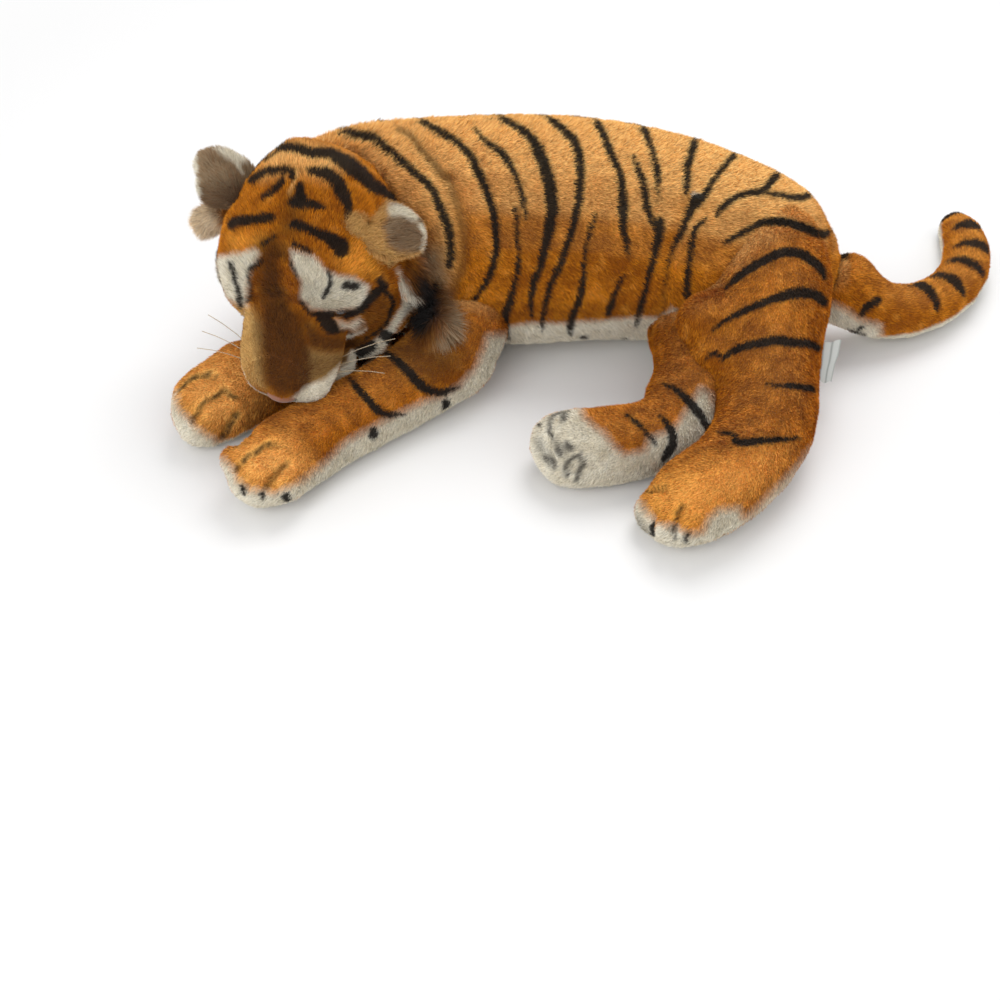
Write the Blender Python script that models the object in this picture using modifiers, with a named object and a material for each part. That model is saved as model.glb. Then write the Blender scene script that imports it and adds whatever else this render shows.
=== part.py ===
"""A large plush tiger that lies on its belly and looks to its left.

Sewn covers stand as thin shells round their stuffing. The head, the legs, the tail and the
ears turn on the soft folds that join them to the body. Metres, +Z up, the floor at z = 0,
the tiger's head towards -X and its left side towards -Y.
"""
import math

import bmesh
import bpy
from mathutils import Matrix, Vector
from mathutils.bvhtree import BVHTree

for old in list(bpy.data.objects):
    bpy.data.objects.remove(old, do_unlink=True)

# Cloth, seams and the floor
COVER_THICKNESS = 0.005
SEAM_GAP = 0.0003
STUFFING_GAP = 0.0005
FLOOR_CUT = 0.0005
SETTLE_DEPTH = 0.006
SETTLE_SOFTNESS = 0.002
FOLD_LIFT = 0.0025
OVERRUN = 1.0
POINT_SPACING = 0.02
SWING_STEPS = 2
# Sides of each form's own loft and of the coarser one inside it
TORSO_SIDES = (9, 6)
SKULL_SIDES = (9, 6)
MUZZLE_SIDES = (7, 5)
LIMB_SIDES = (7, 5)

# Body
TORSO_LENGTH = 0.60
TORSO_WIDTH = 0.240
TORSO_HEIGHT = 0.252
BELLY_LINE = 0.030
# Along, sideways, middle height, half width and half height, as shares of the length, width
# and height
TORSO_SHARES = (
    (-0.590, -0.080, 0.620, 0.00, 0.00),
    (-0.550, -0.070, 0.580, 0.52, 0.52),
    (-0.450, -0.050, 0.540, 0.82, 0.80),
    (-0.320, -0.030, 0.510, 0.94, 0.95),
    (-0.180, -0.020, 0.500, 0.98, 1.00),
    (0.000, 0.000, 0.500, 1.00, 1.00),
    (0.165, -0.035, 0.475, 0.98, 0.95),
    (0.315, -0.105, 0.430, 0.90, 0.86),
    (0.440, -0.150, 0.370, 0.74, 0.72),
    (0.520, -0.170, 0.330, 0.46, 0.48),
    (0.560, -0.175, 0.320, 0.00, 0.00),
)

# Head, measured forwards, to its left and upwards from its own centre
HEAD_LENGTH = 0.215
HEAD_WIDTH = 0.200
HEAD_HEIGHT = 0.190
HEAD_PLACE_SHARES = (-0.452, -0.466, 0.620)
HEAD_YAW = math.radians(13)
HEAD_PITCH = math.radians(20)
HEAD_ROLL = math.radians(-2)
# Forwards, up, half width and half height, as shares of the head's length, height and width
SKULL_SHARES = (
    (-0.560, 0.02, 0.00, 0.00),
    (-0.480, 0.02, 0.55, 0.56),
    (-0.270, 0.03, 0.90, 0.90),
    (-0.030, 0.03, 1.00, 1.00),
    (0.190, 0.00, 0.95, 0.90),
    (0.350, -0.04, 0.74, 0.68),
    (0.430, -0.06, 0.00, 0.00),
)
MUZZLE_LENGTH = 0.110
MUZZLE_WIDTH = 0.116
MUZZLE_ASIDE = 0.007
MUZZLE_HEIGHT = 0.094
MUZZLE_START = 0.058
MUZZLE_BRIDGE_LINE = -0.018
# Forwards from the muzzle's start, up, half width and half height, as shares
MUZZLE_SHARES = (
    (-0.30, 0.10, 0.00, 0.00),
    (-0.18, 0.08, 0.85, 0.85),
    (0.18, 0.00, 0.87, 1.00),
    (0.55, -0.14, 0.96, 0.82),
    (0.86, -0.21, 0.77, 0.66),
    (0.985, -0.22, 0.00, 0.00),
)
CHIN_LENGTH = 0.078
CHIN_WIDTH = 0.086
CHIN_HEIGHT = 0.034
CHIN_PLACE_SHARES = (0.44, 0.070, -0.290)
RUFF_LENGTH = 0.092
RUFF_WIDTH = 0.048
RUFF_HEIGHT = 0.100
RUFF_PLACE_SHARES = (-0.05, 0.470, -0.22)
RUFF_LEAN = math.radians(16)
NOSE_WIDTH = 0.036
NOSE_HEIGHT = 0.020
NOSE_DEPTH = 0.022
EYE_DIAMETER = 0.019
EYE_DEPTH = 0.011
EYE_SHANK_DIAMETER = 0.005
EYE_SHANK_LENGTH = 0.016
EYE_WASHER_DIAMETER = 0.016
EYE_WASHER_THICKNESS = 0.0016
EYE_RUNNING_GAP = 0.0004
EYE_PLACE_SHARES = (0.34, 0.27, 0.10)
NECK_RADIUS = 0.124
NECK_FOLD_GAP = 0.0005
NECK_RUNNING_GAP = 0.0050

# Ears
EAR_WIDTH = 0.078
EAR_HEIGHT = 0.074
EAR_DEPTH = 0.034
EAR_WALL = 0.006
EAR_LINING = 0.004
EAR_PLACE_SHARES = {"left": (-0.08, 0.420, 0.310), "right": (-0.20, 0.400, 0.370)}
EAR_SEAT = 0.016
EAR_FOLD_HEIGHT = 0.0030
# The right ear stands up and the left one hangs, measured forwards, outwards and up
EAR_TIP_SHARES = {"left": (0.04, 0.92, -0.30), "right": (-0.25, 0.76, 0.60)}
EAR_FACE_SHARES = {"left": (0.25, 0.20, -0.90), "right": (0.45, 0.35, -0.80)}

# Whiskers
WHISKER_DIAMETER = 0.0010
WHISKER_LENGTH = 0.055
WHISKER_DROOP = 0.012
WHISKER_LIFT = 0.020
WHISKER_SWEEP = 0.012
WHISKER_SPACING = 0.009
WHISKER_COUNT = 3
WHISKER_PLACE_SHARES = (0.62, -0.20)

# Care label
LABEL_WIDTH = 0.022
LABEL_LENGTH = 0.042
LABEL_THICKNESS = 0.0010
LABEL_PLACE_SHARES = (-0.060, -0.300, 0.260)
LABEL_LEAN = math.radians(43)

# Each leg: joint's place as shares of the torso's length, width and height, the leg's reach
# along X and Y, its thickness, and its route from the joint. A station of the route is given
# as shares of the reach along X and Y, lift off the floor as a share of the joint's height,
# and half width and half height as shares of the thickness.
LEGS = {
    "left_foreleg": {
        "joint_shares": (-0.175, -0.440, 0.290),
        "reach_x": 0.250, "reach_y": 0.242, "thickness": 0.086, "white_line": 0.022,
        "swing": math.radians(12), "fold_radius": 0.056,
        "route_shares": (
            (0.140, 0.300, 0.66, 0.00, 0.00),
            (0.090, 0.180, 0.62, 0.80, 0.80),
            (0.000, -0.040, 0.36, 1.14, 1.12),
            (-0.130, -0.230, 0.06, 1.12, 1.12),
            (-0.330, -0.400, 0.00, 1.00, 1.00),
            (-0.550, -0.570, 0.00, 0.94, 0.96),
            (-0.760, -0.790, 0.00, 1.06, 1.00),
            (-0.910, -0.930, 0.00, 0.92, 0.88),
            (-1.000, -1.000, 0.14, 0.00, 0.00),
        ),
    },
    "right_foreleg": {
        "joint_shares": (-0.330, -0.130, 0.150),
        "reach_x": 0.228, "reach_y": 0.215, "thickness": 0.096, "white_line": 0.022,
        "swing": math.radians(-10), "fold_radius": 0.056,
        "route_shares": (
            (0.150, 0.160, 0.10, 0.00, 0.00),
            (0.090, 0.100, 0.10, 0.62, 0.56),
            (0.000, 0.000, 0.06, 0.90, 0.70),
            (-0.260, -0.260, 0.00, 0.98, 0.66),
            (-0.470, -0.480, 0.00, 0.96, 0.74),
            (-0.660, -0.700, 0.00, 0.94, 0.90),
            (-0.830, -0.870, 0.00, 0.98, 0.92),
            (-0.940, -0.960, 0.00, 0.82, 0.80),
            (-1.000, -1.000, 0.20, 0.00, 0.00),
        ),
    },
    "left_hind_leg": {
        "joint_shares": (0.395, -0.250, 0.560),
        "reach_x": 0.155, "reach_y": 0.318, "thickness": 0.098, "white_line": 0.020,
        "swing": math.radians(10), "fold_radius": 0.086,
        "route_shares": (
            (0.080, 0.260, 0.52, 0.00, 0.00),
            (0.060, 0.180, 0.50, 1.05, 1.05),
            (0.020, 0.020, 0.42, 1.68, 1.62),
            (-0.060, -0.200, 0.22, 1.62, 1.58),
            (-0.100, -0.440, 0.06, 1.30, 1.30),
            (-0.170, -0.680, 0.00, 1.08, 1.08),
            (-0.460, -0.870, 0.00, 0.96, 1.00),
            (-0.780, -0.970, 0.00, 0.98, 0.96),
            (-0.940, -0.995, 0.00, 0.82, 0.82),
            (-1.020, -1.005, 0.14, 0.00, 0.00),
        ),
    },
    "right_hind_leg": {
        "joint_shares": (0.240, -0.440, 0.190),
        "reach_x": 0.168, "reach_y": 0.182, "thickness": 0.088, "white_line": 0.022,
        "swing": math.radians(-10), "fold_radius": 0.060,
        "route_shares": (
            (0.060, 0.420, 0.60, 0.00, 0.00),
            (0.050, 0.300, 0.60, 0.80, 0.80),
            (0.030, 0.000, 0.40, 1.10, 1.10),
            (0.020, -0.400, 0.16, 1.00, 1.04),
            (-0.080, -0.760, 0.02, 0.94, 0.96),
            (-0.340, -0.930, 0.00, 0.90, 0.94),
            (-0.740, -0.990, 0.00, 0.98, 0.98),
            (-0.930, -1.000, 0.00, 0.84, 0.84),
            (-1.010, -1.000, 0.16, 0.00, 0.00),
        ),
    },
}
TAIL = {
    "joint_shares": (0.530, -0.235, 0.290),
    "reach_x": 0.225, "reach_y": 0.240, "thickness": 0.066, "white_line": 0.020,
    "swing": math.radians(18), "fold_radius": 0.038,
    "route_shares": (
        (-0.200, 0.060, 0.75, 0.00, 0.00),
        (-0.130, 0.040, 0.70, 0.80, 0.80),
        (0.020, 0.000, 0.55, 1.04, 1.04),
        (0.280, -0.020, 0.14, 1.00, 1.00),
        (0.640, 0.120, 0.00, 0.94, 0.94),
        (0.930, 0.440, 0.00, 0.92, 0.92),
        (0.990, 0.800, 0.00, 0.84, 0.84),
        (0.980, 0.950, 0.00, 0.62, 0.62),
        (0.970, 1.000, 0.14, 0.00, 0.00),
    ),
}

COLOURS = {
    "orange_pile": ((0.62, 0.24, 0.04), 0.9),
    "white_pile": ((0.84, 0.80, 0.70), 0.9),
    "brown_pile": ((0.22, 0.10, 0.04), 0.9),
    "dark_pile": ((0.12, 0.09, 0.07), 0.9),
    "ear_lining": ((0.70, 0.64, 0.54), 0.9),
    "stuffing": ((0.90, 0.90, 0.88), 0.95),
    "nose_cloth": ((0.62, 0.28, 0.22), 0.7),
    "eye_resin": ((0.05, 0.03, 0.02), 0.1),
    "washer_plastic": ((0.85, 0.85, 0.82), 0.5),
    "nylon": ((0.90, 0.88, 0.84), 0.3),
    "label_cloth": ((0.92, 0.92, 0.92), 0.8),
}


def new_collection(name):
    collection = bpy.data.collections.new(name)
    bpy.context.scene.collection.children.link(collection)
    return collection


PARTS = new_collection("plush_tiger")
CUTTERS = new_collection("cutters")


def material(name):
    found = bpy.data.materials.get(name)
    if found:
        return found
    colour, roughness = COLOURS[name]
    made = bpy.data.materials.new(name)
    made.use_nodes = True
    shader = made.node_tree.nodes["Principled BSDF"]
    shader.inputs["Base Color"].default_value = (*colour, 1)
    shader.inputs["Roughness"].default_value = roughness
    return made


def part(name, mesh, finish):
    """A node of the object, with its own finish."""
    obj = bpy.data.objects.new(name, mesh)
    PARTS.objects.link(obj)
    mesh.materials.clear()
    mesh.materials.append(material(finish))
    return obj


def cutter(name, mesh):
    """A helper shape, left out of the model."""
    obj = bpy.data.objects.new(name, mesh)
    CUTTERS.objects.link(obj)
    obj.hide_render = True
    obj.display_type = 'WIRE'
    return obj


def boolean(obj, other, operation='DIFFERENCE'):
    """A cut or union. EXACT leaves open edges on the settled soft forms, so it is MANIFOLD."""
    mod = obj.modifiers.new(other.name, 'BOOLEAN')
    mod.operation = operation
    mod.solver = 'MANIFOLD'
    mod.object = other


def evaluated_mesh(obj):
    bpy.context.view_layer.update()
    found = obj.evaluated_get(bpy.context.evaluated_depsgraph_get())
    return bpy.data.meshes.new_from_object(found)


def mesh_from_bmesh(name, bm):
    mesh = bpy.data.meshes.new(name)
    bmesh.ops.recalc_face_normals(bm, faces=bm.faces)
    if bm.calc_volume(signed=True) < 0:
        bmesh.ops.reverse_faces(bm, faces=bm.faces)
    bm.to_mesh(mesh)
    bm.free()
    for polygon in mesh.polygons:
        polygon.use_smooth = True
    return mesh


def settled(z):
    """Height after the stuffing has settled on the floor: a soft flat foot, cut at z = 0."""
    steps = (z + FLOOR_CUT) / SETTLE_SOFTNESS
    rise = steps if steps > 30 else math.log1p(math.exp(steps))
    return max(0.0, rise * SETTLE_SOFTNESS - FLOOR_CUT)


def loft(name, stations, sides, up=Vector((0, 0, 1)), on_floor=True):
    """A soft form round a route. A station is a centre, a half width and a half height."""
    swell = 3 / (2 + math.cos(2 * math.pi / sides))
    bm = bmesh.new()
    rings = []
    for i, (centre, half_width, half_height) in enumerate(stations):
        before = stations[max(i - 1, 0)][0]
        after = stations[min(i + 1, len(stations) - 1)][0]
        side = (after - before).cross(up).normalized()
        rise = side.cross(after - before).normalized()
        if half_width == 0:
            rings.append([bm.verts.new(centre)])
            continue
        ring = []
        for k in range(sides):
            angle = 2 * math.pi * (k + 0.5) / sides
            offset = side * math.cos(angle) * half_width + rise * math.sin(angle) * half_height
            ring.append(bm.verts.new(centre + offset * swell))
        rings.append(ring)
    for low, high in zip(rings, rings[1:]):
        for k in range(sides):
            corners = [low[k % len(low)], low[(k + 1) % len(low)],
                       high[(k + 1) % len(high)], high[k % len(high)]]
            bm.faces.new(list(dict.fromkeys(corners)))
    cage = cutter(name + "_cage", mesh_from_bmesh(name + "_cage", bm))
    smooth = cage.modifiers.new("rounding", 'SUBSURF')
    smooth.levels = 1
    smooth.render_levels = 1
    bm = bmesh.new()
    bm.from_mesh(evaluated_mesh(cage))
    bmesh.ops.triangulate(bm, faces=bm.faces)
    if on_floor:
        for vertex in bm.verts:
            vertex.co.z = settled(vertex.co.z)
    return mesh_from_bmesh(name, bm)


def offset_copy(mesh, distance):
    """The same form grown outwards, or shrunk inwards where the distance is negative."""
    copy = mesh.copy()
    for vertex, normal in zip(copy.vertices, [v.vector.copy() for v in mesh.vertex_normals]):
        vertex.co += normal * distance
    copy.update()
    return copy


def box(name, low, high):
    bm = bmesh.new()
    bmesh.ops.create_cube(bm, size=1)
    size = Vector(high) - Vector(low)
    middle = (Vector(high) + Vector(low)) / 2
    for vertex in bm.verts:
        vertex.co = Vector([vertex.co[i] * size[i] + middle[i] for i in range(3)])
    return cutter(name, mesh_from_bmesh(name, bm))


def half_space(name, place, normal):
    """A big box on the side of a plane that its normal points to."""
    bm = bmesh.new()
    bmesh.ops.create_cube(bm, size=OVERRUN)
    turn = Vector(normal).to_track_quat('Z', 'Y').to_matrix().to_4x4()
    for vertex in bm.verts:
        vertex.co = Vector(place) + turn @ (vertex.co + Vector((0, 0, OVERRUN / 2)))
    return cutter(name, mesh_from_bmesh(name, bm))


def ball(name, centre, radii, turn=None, segments=12, rings=8):
    bm = bmesh.new()
    bmesh.ops.create_uvsphere(bm, u_segments=segments, v_segments=rings, radius=1)
    turn = turn or Matrix.Identity(3)
    for vertex in bm.verts:
        scaled = Vector([vertex.co[i] * radii[i] for i in range(3)])
        vertex.co = Vector(centre) + turn @ scaled
    return mesh_from_bmesh(name, bm)


def rod(name, start, end, diameter, sides=12):
    bm = bmesh.new()
    reach = Vector(end) - Vector(start)
    bmesh.ops.create_cone(bm, cap_ends=True, segments=sides, radius1=diameter / 2,
                          radius2=diameter / 2, depth=reach.length)
    turn = reach.to_track_quat('Z', 'Y').to_matrix()
    middle = (Vector(start) + Vector(end)) / 2
    for vertex in bm.verts:
        vertex.co = middle + turn @ vertex.co
    return mesh_from_bmesh(name, bm)


def torso_point(shares):
    """A place given by shares of the torso's length, width and height."""
    return Vector((shares[0] * TORSO_LENGTH, shares[1] * TORSO_WIDTH, shares[2] * TORSO_HEIGHT))


def floor_band(name, top):
    """Everything below a height."""
    return box(name, (-OVERRUN, -OVERRUN, -OVERRUN), (OVERRUN, OVERRUN, top))


class StuffedForm:
    """One sewn form: its outer skin, the inside of its covers and its stuffing."""

    def __init__(self, name, stations, sides, up=Vector((0, 0, 1)), on_floor=True):
        self.skin = loft(name, stations, sides[0], up, on_floor)
        coarse = loft(name + "_coarse", stations, sides[1], up, on_floor)
        self.hollow = cutter(name + "_hollow", offset_copy(coarse, -COVER_THICKNESS))
        self.core = offset_copy(coarse, -COVER_THICKNESS - STUFFING_GAP)
        self.room = cutter(name + "_room", offset_copy(self.skin, SEAM_GAP))
        self.inside = cutter(name + "_inside", self.core.copy())

    def cover(self, name, finish, cuts):
        """A panel of the cover: the shell less everything that the cuts take away."""
        obj = part(name, self.skin.copy(), finish)
        boolean(obj, self.hollow)
        for cut in cuts:
            boolean(obj, cut)
        return obj

    def stuffing(self, name, cuts):
        obj = part(name, self.core.copy(), "stuffing")
        for cut in cuts:
            boolean(obj, cut)
        return obj


# Head frame

def head_axes():
    """Forwards, left and up of the bowed and turned head, as the columns of a matrix."""
    forward = Vector((-math.sin(HEAD_YAW) * math.cos(HEAD_PITCH),
                      -math.cos(HEAD_YAW) * math.cos(HEAD_PITCH), -math.sin(HEAD_PITCH)))
    level_left = Vector((math.cos(HEAD_YAW), -math.sin(HEAD_YAW), 0))
    level_up = forward.cross(level_left)
    if level_up.z < 0:
        level_up.negate()
    left = level_left * math.cos(HEAD_ROLL) - level_up * math.sin(HEAD_ROLL)
    up = level_up * math.cos(HEAD_ROLL) + level_left * math.sin(HEAD_ROLL)
    return Matrix((forward, left, up)).transposed()


HEAD_CENTRE = torso_point(HEAD_PLACE_SHARES)
HEAD_AXES = head_axes()
HEAD_UP = HEAD_AXES.col[2].normalized()


def head_point(forward, left, up):
    return HEAD_CENTRE + HEAD_AXES @ Vector((forward, left, up))


def head_share_point(shares, side=1):
    return head_point(shares[0] * HEAD_LENGTH, side * shares[1] * HEAD_WIDTH,
                      shares[2] * HEAD_HEIGHT)


# Torso

def torso_stations():
    stations = []
    for along, sideways, middle, width, height in TORSO_SHARES:
        centre = torso_point((along, sideways, middle))
        centre.z -= SETTLE_DEPTH
        stations.append((centre, width * TORSO_WIDTH / 2, height * TORSO_HEIGHT / 2))
    return stations


def make_torso():
    torso = StuffedForm("torso", torso_stations(), TORSO_SIDES)
    neck_ball = cutter("neck_ball", ball("neck_ball", HEAD_CENTRE, [NECK_RADIUS] * 3,
                                         segments=16, rings=10))
    left_side = half_space("left_side", (0, SEAM_GAP / 2, 0), (0, -1, 0))
    right_side = half_space("right_side", (0, -SEAM_GAP / 2, 0), (0, 1, 0))
    below = floor_band("below_belly_line", BELLY_LINE)
    above = box("above_belly_line", (-OVERRUN, -OVERRUN, BELLY_LINE - SEAM_GAP),
                (OVERRUN, OVERRUN, OVERRUN))
    torso.cover("back_cover_left", "orange_pile", [below, right_side, neck_ball])
    torso.cover("back_cover_right", "orange_pile", [below, left_side, neck_ball])
    torso.cover("belly_cover", "white_pile", [above, neck_ball])
    torso.stuffing("torso_stuffing", [neck_ball])
    return torso


# Legs and tail

def limb_stations(limb):
    joint = torso_point(limb["joint_shares"])
    stations = []
    for x, y, lift, width, height in limb["route_shares"]:
        half_height = height * limb["thickness"] / 2
        middle = half_height - SETTLE_DEPTH + lift * joint.z
        if width == 0:
            middle = limb["thickness"] / 2 - SETTLE_DEPTH + lift * joint.z
        stations.append((Vector((joint.x + x * limb["reach_x"], joint.y + y * limb["reach_y"],
                                 middle)), width * limb["thickness"] / 2, half_height))
    return stations


def swept_copies(name, mesh, joint, swing):
    """A form turned against a limb's swing: the space that the limb has to leave for it."""
    copies = []
    for step in range(1, SWING_STEPS + 1):
        turn = Matrix.Rotation(-swing * step / SWING_STEPS, 4, 'Z')
        copy = mesh.copy()
        copy.transform(Matrix.Translation(joint) @ turn @ Matrix.Translation(-joint))
        copies.append(cutter("%s_%d" % (name, step), copy))
    return copies


def make_limb(name, limb, torso, neighbours=()):
    """A leg or the tail: an upper and an under cover, stuffing, and the fold at its root."""
    joint = torso_point(limb["joint_shares"])
    form = StuffedForm(name, limb_stations(limb), LIMB_SIDES)
    radius = limb["fold_radius"]
    root = cutter(name + "_root_ball", ball(name + "_root_ball", joint, [radius] * 3,
                                            segments=14, rings=8))
    fold_ball = cutter(name + "_fold_ball", ball(name + "_fold_ball", joint,
                                                 [radius - SEAM_GAP] * 3, segments=14, rings=8))
    below = floor_band(name + "_below_line", limb["white_line"])
    above = box(name + "_above_line", (-OVERRUN, -OVERRUN, limb["white_line"] - SEAM_GAP),
                (OVERRUN, OVERRUN, OVERRUN))
    cuts = [torso.room, root] + [other.room for other in neighbours]
    cuts += swept_copies(name + "_swept_room", torso.room.data, joint, limb["swing"])
    form.cover(name + "_upper_cover", "orange_pile", [below] + cuts)
    form.cover(name + "_under_cover", "white_pile", [above] + cuts)
    form.stuffing(name + "_stuffing", cuts)
    beyond = cutter(name + "_beyond", offset_copy(form.skin, COVER_THICKNESS))
    boolean(beyond, fold_ball)
    for swept in swept_copies(name + "_swept_skin", torso.skin, joint, limb["swing"]):
        boolean(beyond, swept)
    fold = part(name + "_fold", form.skin.copy(), "orange_pile")
    boolean(fold, beyond)
    boolean(fold, torso.room)
    for other in neighbours:
        boolean(fold, other.room)
    boolean(fold, floor_band(name + "_fold_floor", FOLD_LIFT))
    return form


# Head

def head_stations(shares, start, length, width, height, aside=0):
    stations = []
    for forward, up, half_width, half_height in shares:
        centre = head_point(start + forward * length, forward * aside, up * height)
        stations.append((centre, half_width * width / 2, half_height * height / 2))
    return stations


def skin_tree(form):
    return BVHTree.FromPolygons([v.co for v in form.skin.vertices],
                                [p.vertices for p in form.skin.polygons])


def seat_on(tree, place, direction):
    """Where a line from a place inside the form leaves its surface."""
    hit, normal, _, _ = tree.ray_cast(place, direction)
    return hit, normal


def make_eye(side, name, tree, skull):
    place = head_share_point(EYE_PLACE_SHARES, side)
    start = head_point(0, place_left(side), 0)
    seat, normal = seat_on(tree, start, (place - start).normalized())
    inside = seat - normal * (COVER_THICKNESS + EYE_SHANK_LENGTH)
    turn = normal.to_track_quat('Z', 'Y').to_matrix()
    dome = ball("eye_" + name, seat + normal * EYE_RUNNING_GAP,
                (EYE_DIAMETER / 2, EYE_DIAMETER / 2, EYE_DEPTH / 2), turn)
    eye = part("eye_" + name, dome, "eye_resin")
    boolean(eye, skull.room)
    shank = cutter("eye_shank_" + name, rod("eye_shank_" + name, inside, seat + normal * EYE_DEPTH / 4,
                                            EYE_SHANK_DIAMETER))
    boolean(eye, shank, 'UNION')
    hole = cutter("eye_hole_" + name, rod("eye_hole_" + name, inside - normal * EYE_DEPTH / 4,
                                          seat + normal * EYE_DEPTH,
                                          EYE_SHANK_DIAMETER + 2 * EYE_RUNNING_GAP))
    back = seat - normal * (COVER_THICKNESS + SEAM_GAP + EYE_WASHER_THICKNESS)
    face = back + normal * EYE_WASHER_THICKNESS
    washer = part("eye_washer_" + name, rod("eye_washer_" + name, back, face,
                                            EYE_WASHER_DIAMETER), "washer_plastic")
    boolean(washer, hole)
    boolean(washer, skull.inside, 'INTERSECT')
    pocket = cutter("eye_pocket_" + name, rod("eye_pocket_" + name, inside - normal * EYE_DEPTH / 4,
                                              seat, EYE_WASHER_DIAMETER + 2 * EYE_RUNNING_GAP))
    return hole, pocket


def place_left(side):
    return side * EYE_PLACE_SHARES[1] * HEAD_WIDTH / 2


def make_ear(side, name, skull, tree):
    place = head_share_point(EAR_PLACE_SHARES[name], side)
    mirror = Matrix.Diagonal((1, side, 1))
    tip = (HEAD_AXES @ mirror @ Vector(EAR_TIP_SHARES[name])).normalized()
    face = HEAD_AXES @ mirror @ Vector(EAR_FACE_SHARES[name])
    face = (face - tip * face.dot(tip)).normalized()
    across = face.cross(tip)
    turn = Matrix((across, face, tip)).transposed()
    seat, _ = seat_on(tree, HEAD_CENTRE, (place - HEAD_CENTRE).normalized())
    centre = seat + tip * (EAR_HEIGHT / 2 - EAR_SEAT)
    radii = (EAR_WIDTH / 2, EAR_DEPTH / 2, EAR_HEIGHT / 2)
    wall = ball("ear_wall_" + name, centre, radii, turn)
    front = centre + face * EAR_WALL
    bowl = cutter("ear_bowl_" + name, ball("ear_bowl_" + name, front,
                                           [r - EAR_WALL / 2 for r in radii], turn))
    mouth = half_space("ear_mouth_" + name, centre + face * EAR_WALL / 2, face)
    lining_front = front + face * EAR_LINING
    lining_bowl = cutter("ear_lining_bowl_" + name,
                         ball("ear_lining_bowl_" + name, lining_front,
                              [r - EAR_WALL / 2 - EAR_LINING / 2 for r in radii], turn))
    lift = cutter("ear_lift_" + name, offset_copy(skull.skin, EAR_FOLD_HEIGHT))
    back = part("ear_back_" + name, wall, "brown_pile")
    for cut in (bowl, mouth, lift):
        boolean(back, cut)
    lining = part("ear_lining_" + name,
                  ball("ear_lining_" + name, front,
                       [r - EAR_WALL / 2 - SEAM_GAP for r in radii], turn), "ear_lining")
    for cut in (lining_bowl, mouth, lift):
        boolean(lining, cut)
    fold = part("ear_fold_" + name, wall.copy(), "brown_pile")
    for cut in (bowl, mouth, skull.room):
        boolean(fold, cut)
    fold_top = cutter("ear_fold_top_" + name, offset_copy(skull.skin, EAR_FOLD_HEIGHT - SEAM_GAP))
    boolean(fold, fold_top, 'INTERSECT')
    return seat, across


def make_whiskers(side, name, tree):
    for number in range(WHISKER_COUNT):
        forward = MUZZLE_START + WHISKER_PLACE_SHARES[0] * MUZZLE_LENGTH - number * WHISKER_SPACING
        start = head_point(forward, 0, WHISKER_PLACE_SHARES[1] * MUZZLE_HEIGHT)
        outwards = HEAD_AXES @ Vector((0, side, 0))
        seat, normal = seat_on(tree, start, outwards)
        root = seat + normal * (SEAM_GAP + WHISKER_DIAMETER / 2)
        count = math.ceil(WHISKER_LENGTH / POINT_SPACING) + 1
        curve = bpy.data.curves.new("whisker", 'CURVE')
        curve.dimensions = '3D'
        curve.bevel_depth = WHISKER_DIAMETER / 2
        curve.bevel_resolution = 0
        curve.use_fill_caps = True
        spline = curve.splines.new('POLY')
        spline.points.add(count - 1)
        for i, point in enumerate(spline.points):
            share = i / (count - 1)
            reach = root + outwards * WHISKER_LENGTH * share
            reach -= HEAD_AXES.col[0] * WHISKER_SWEEP * share * number
            reach.z += WHISKER_LIFT * share - WHISKER_DROOP * share * share
            point.co = (*reach, 1)
        wire = cutter("whisker_wire", curve)
        mesh = evaluated_mesh(wire)
        bpy.data.objects.remove(wire)
        bm = bmesh.new()
        bm.from_mesh(mesh)
        bmesh.ops.remove_doubles(bm, verts=bm.verts, dist=SEAM_GAP / 10)
        part("whisker_%s_%d" % (name, number + 1), mesh_from_bmesh("whisker", bm), "nylon")


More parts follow.
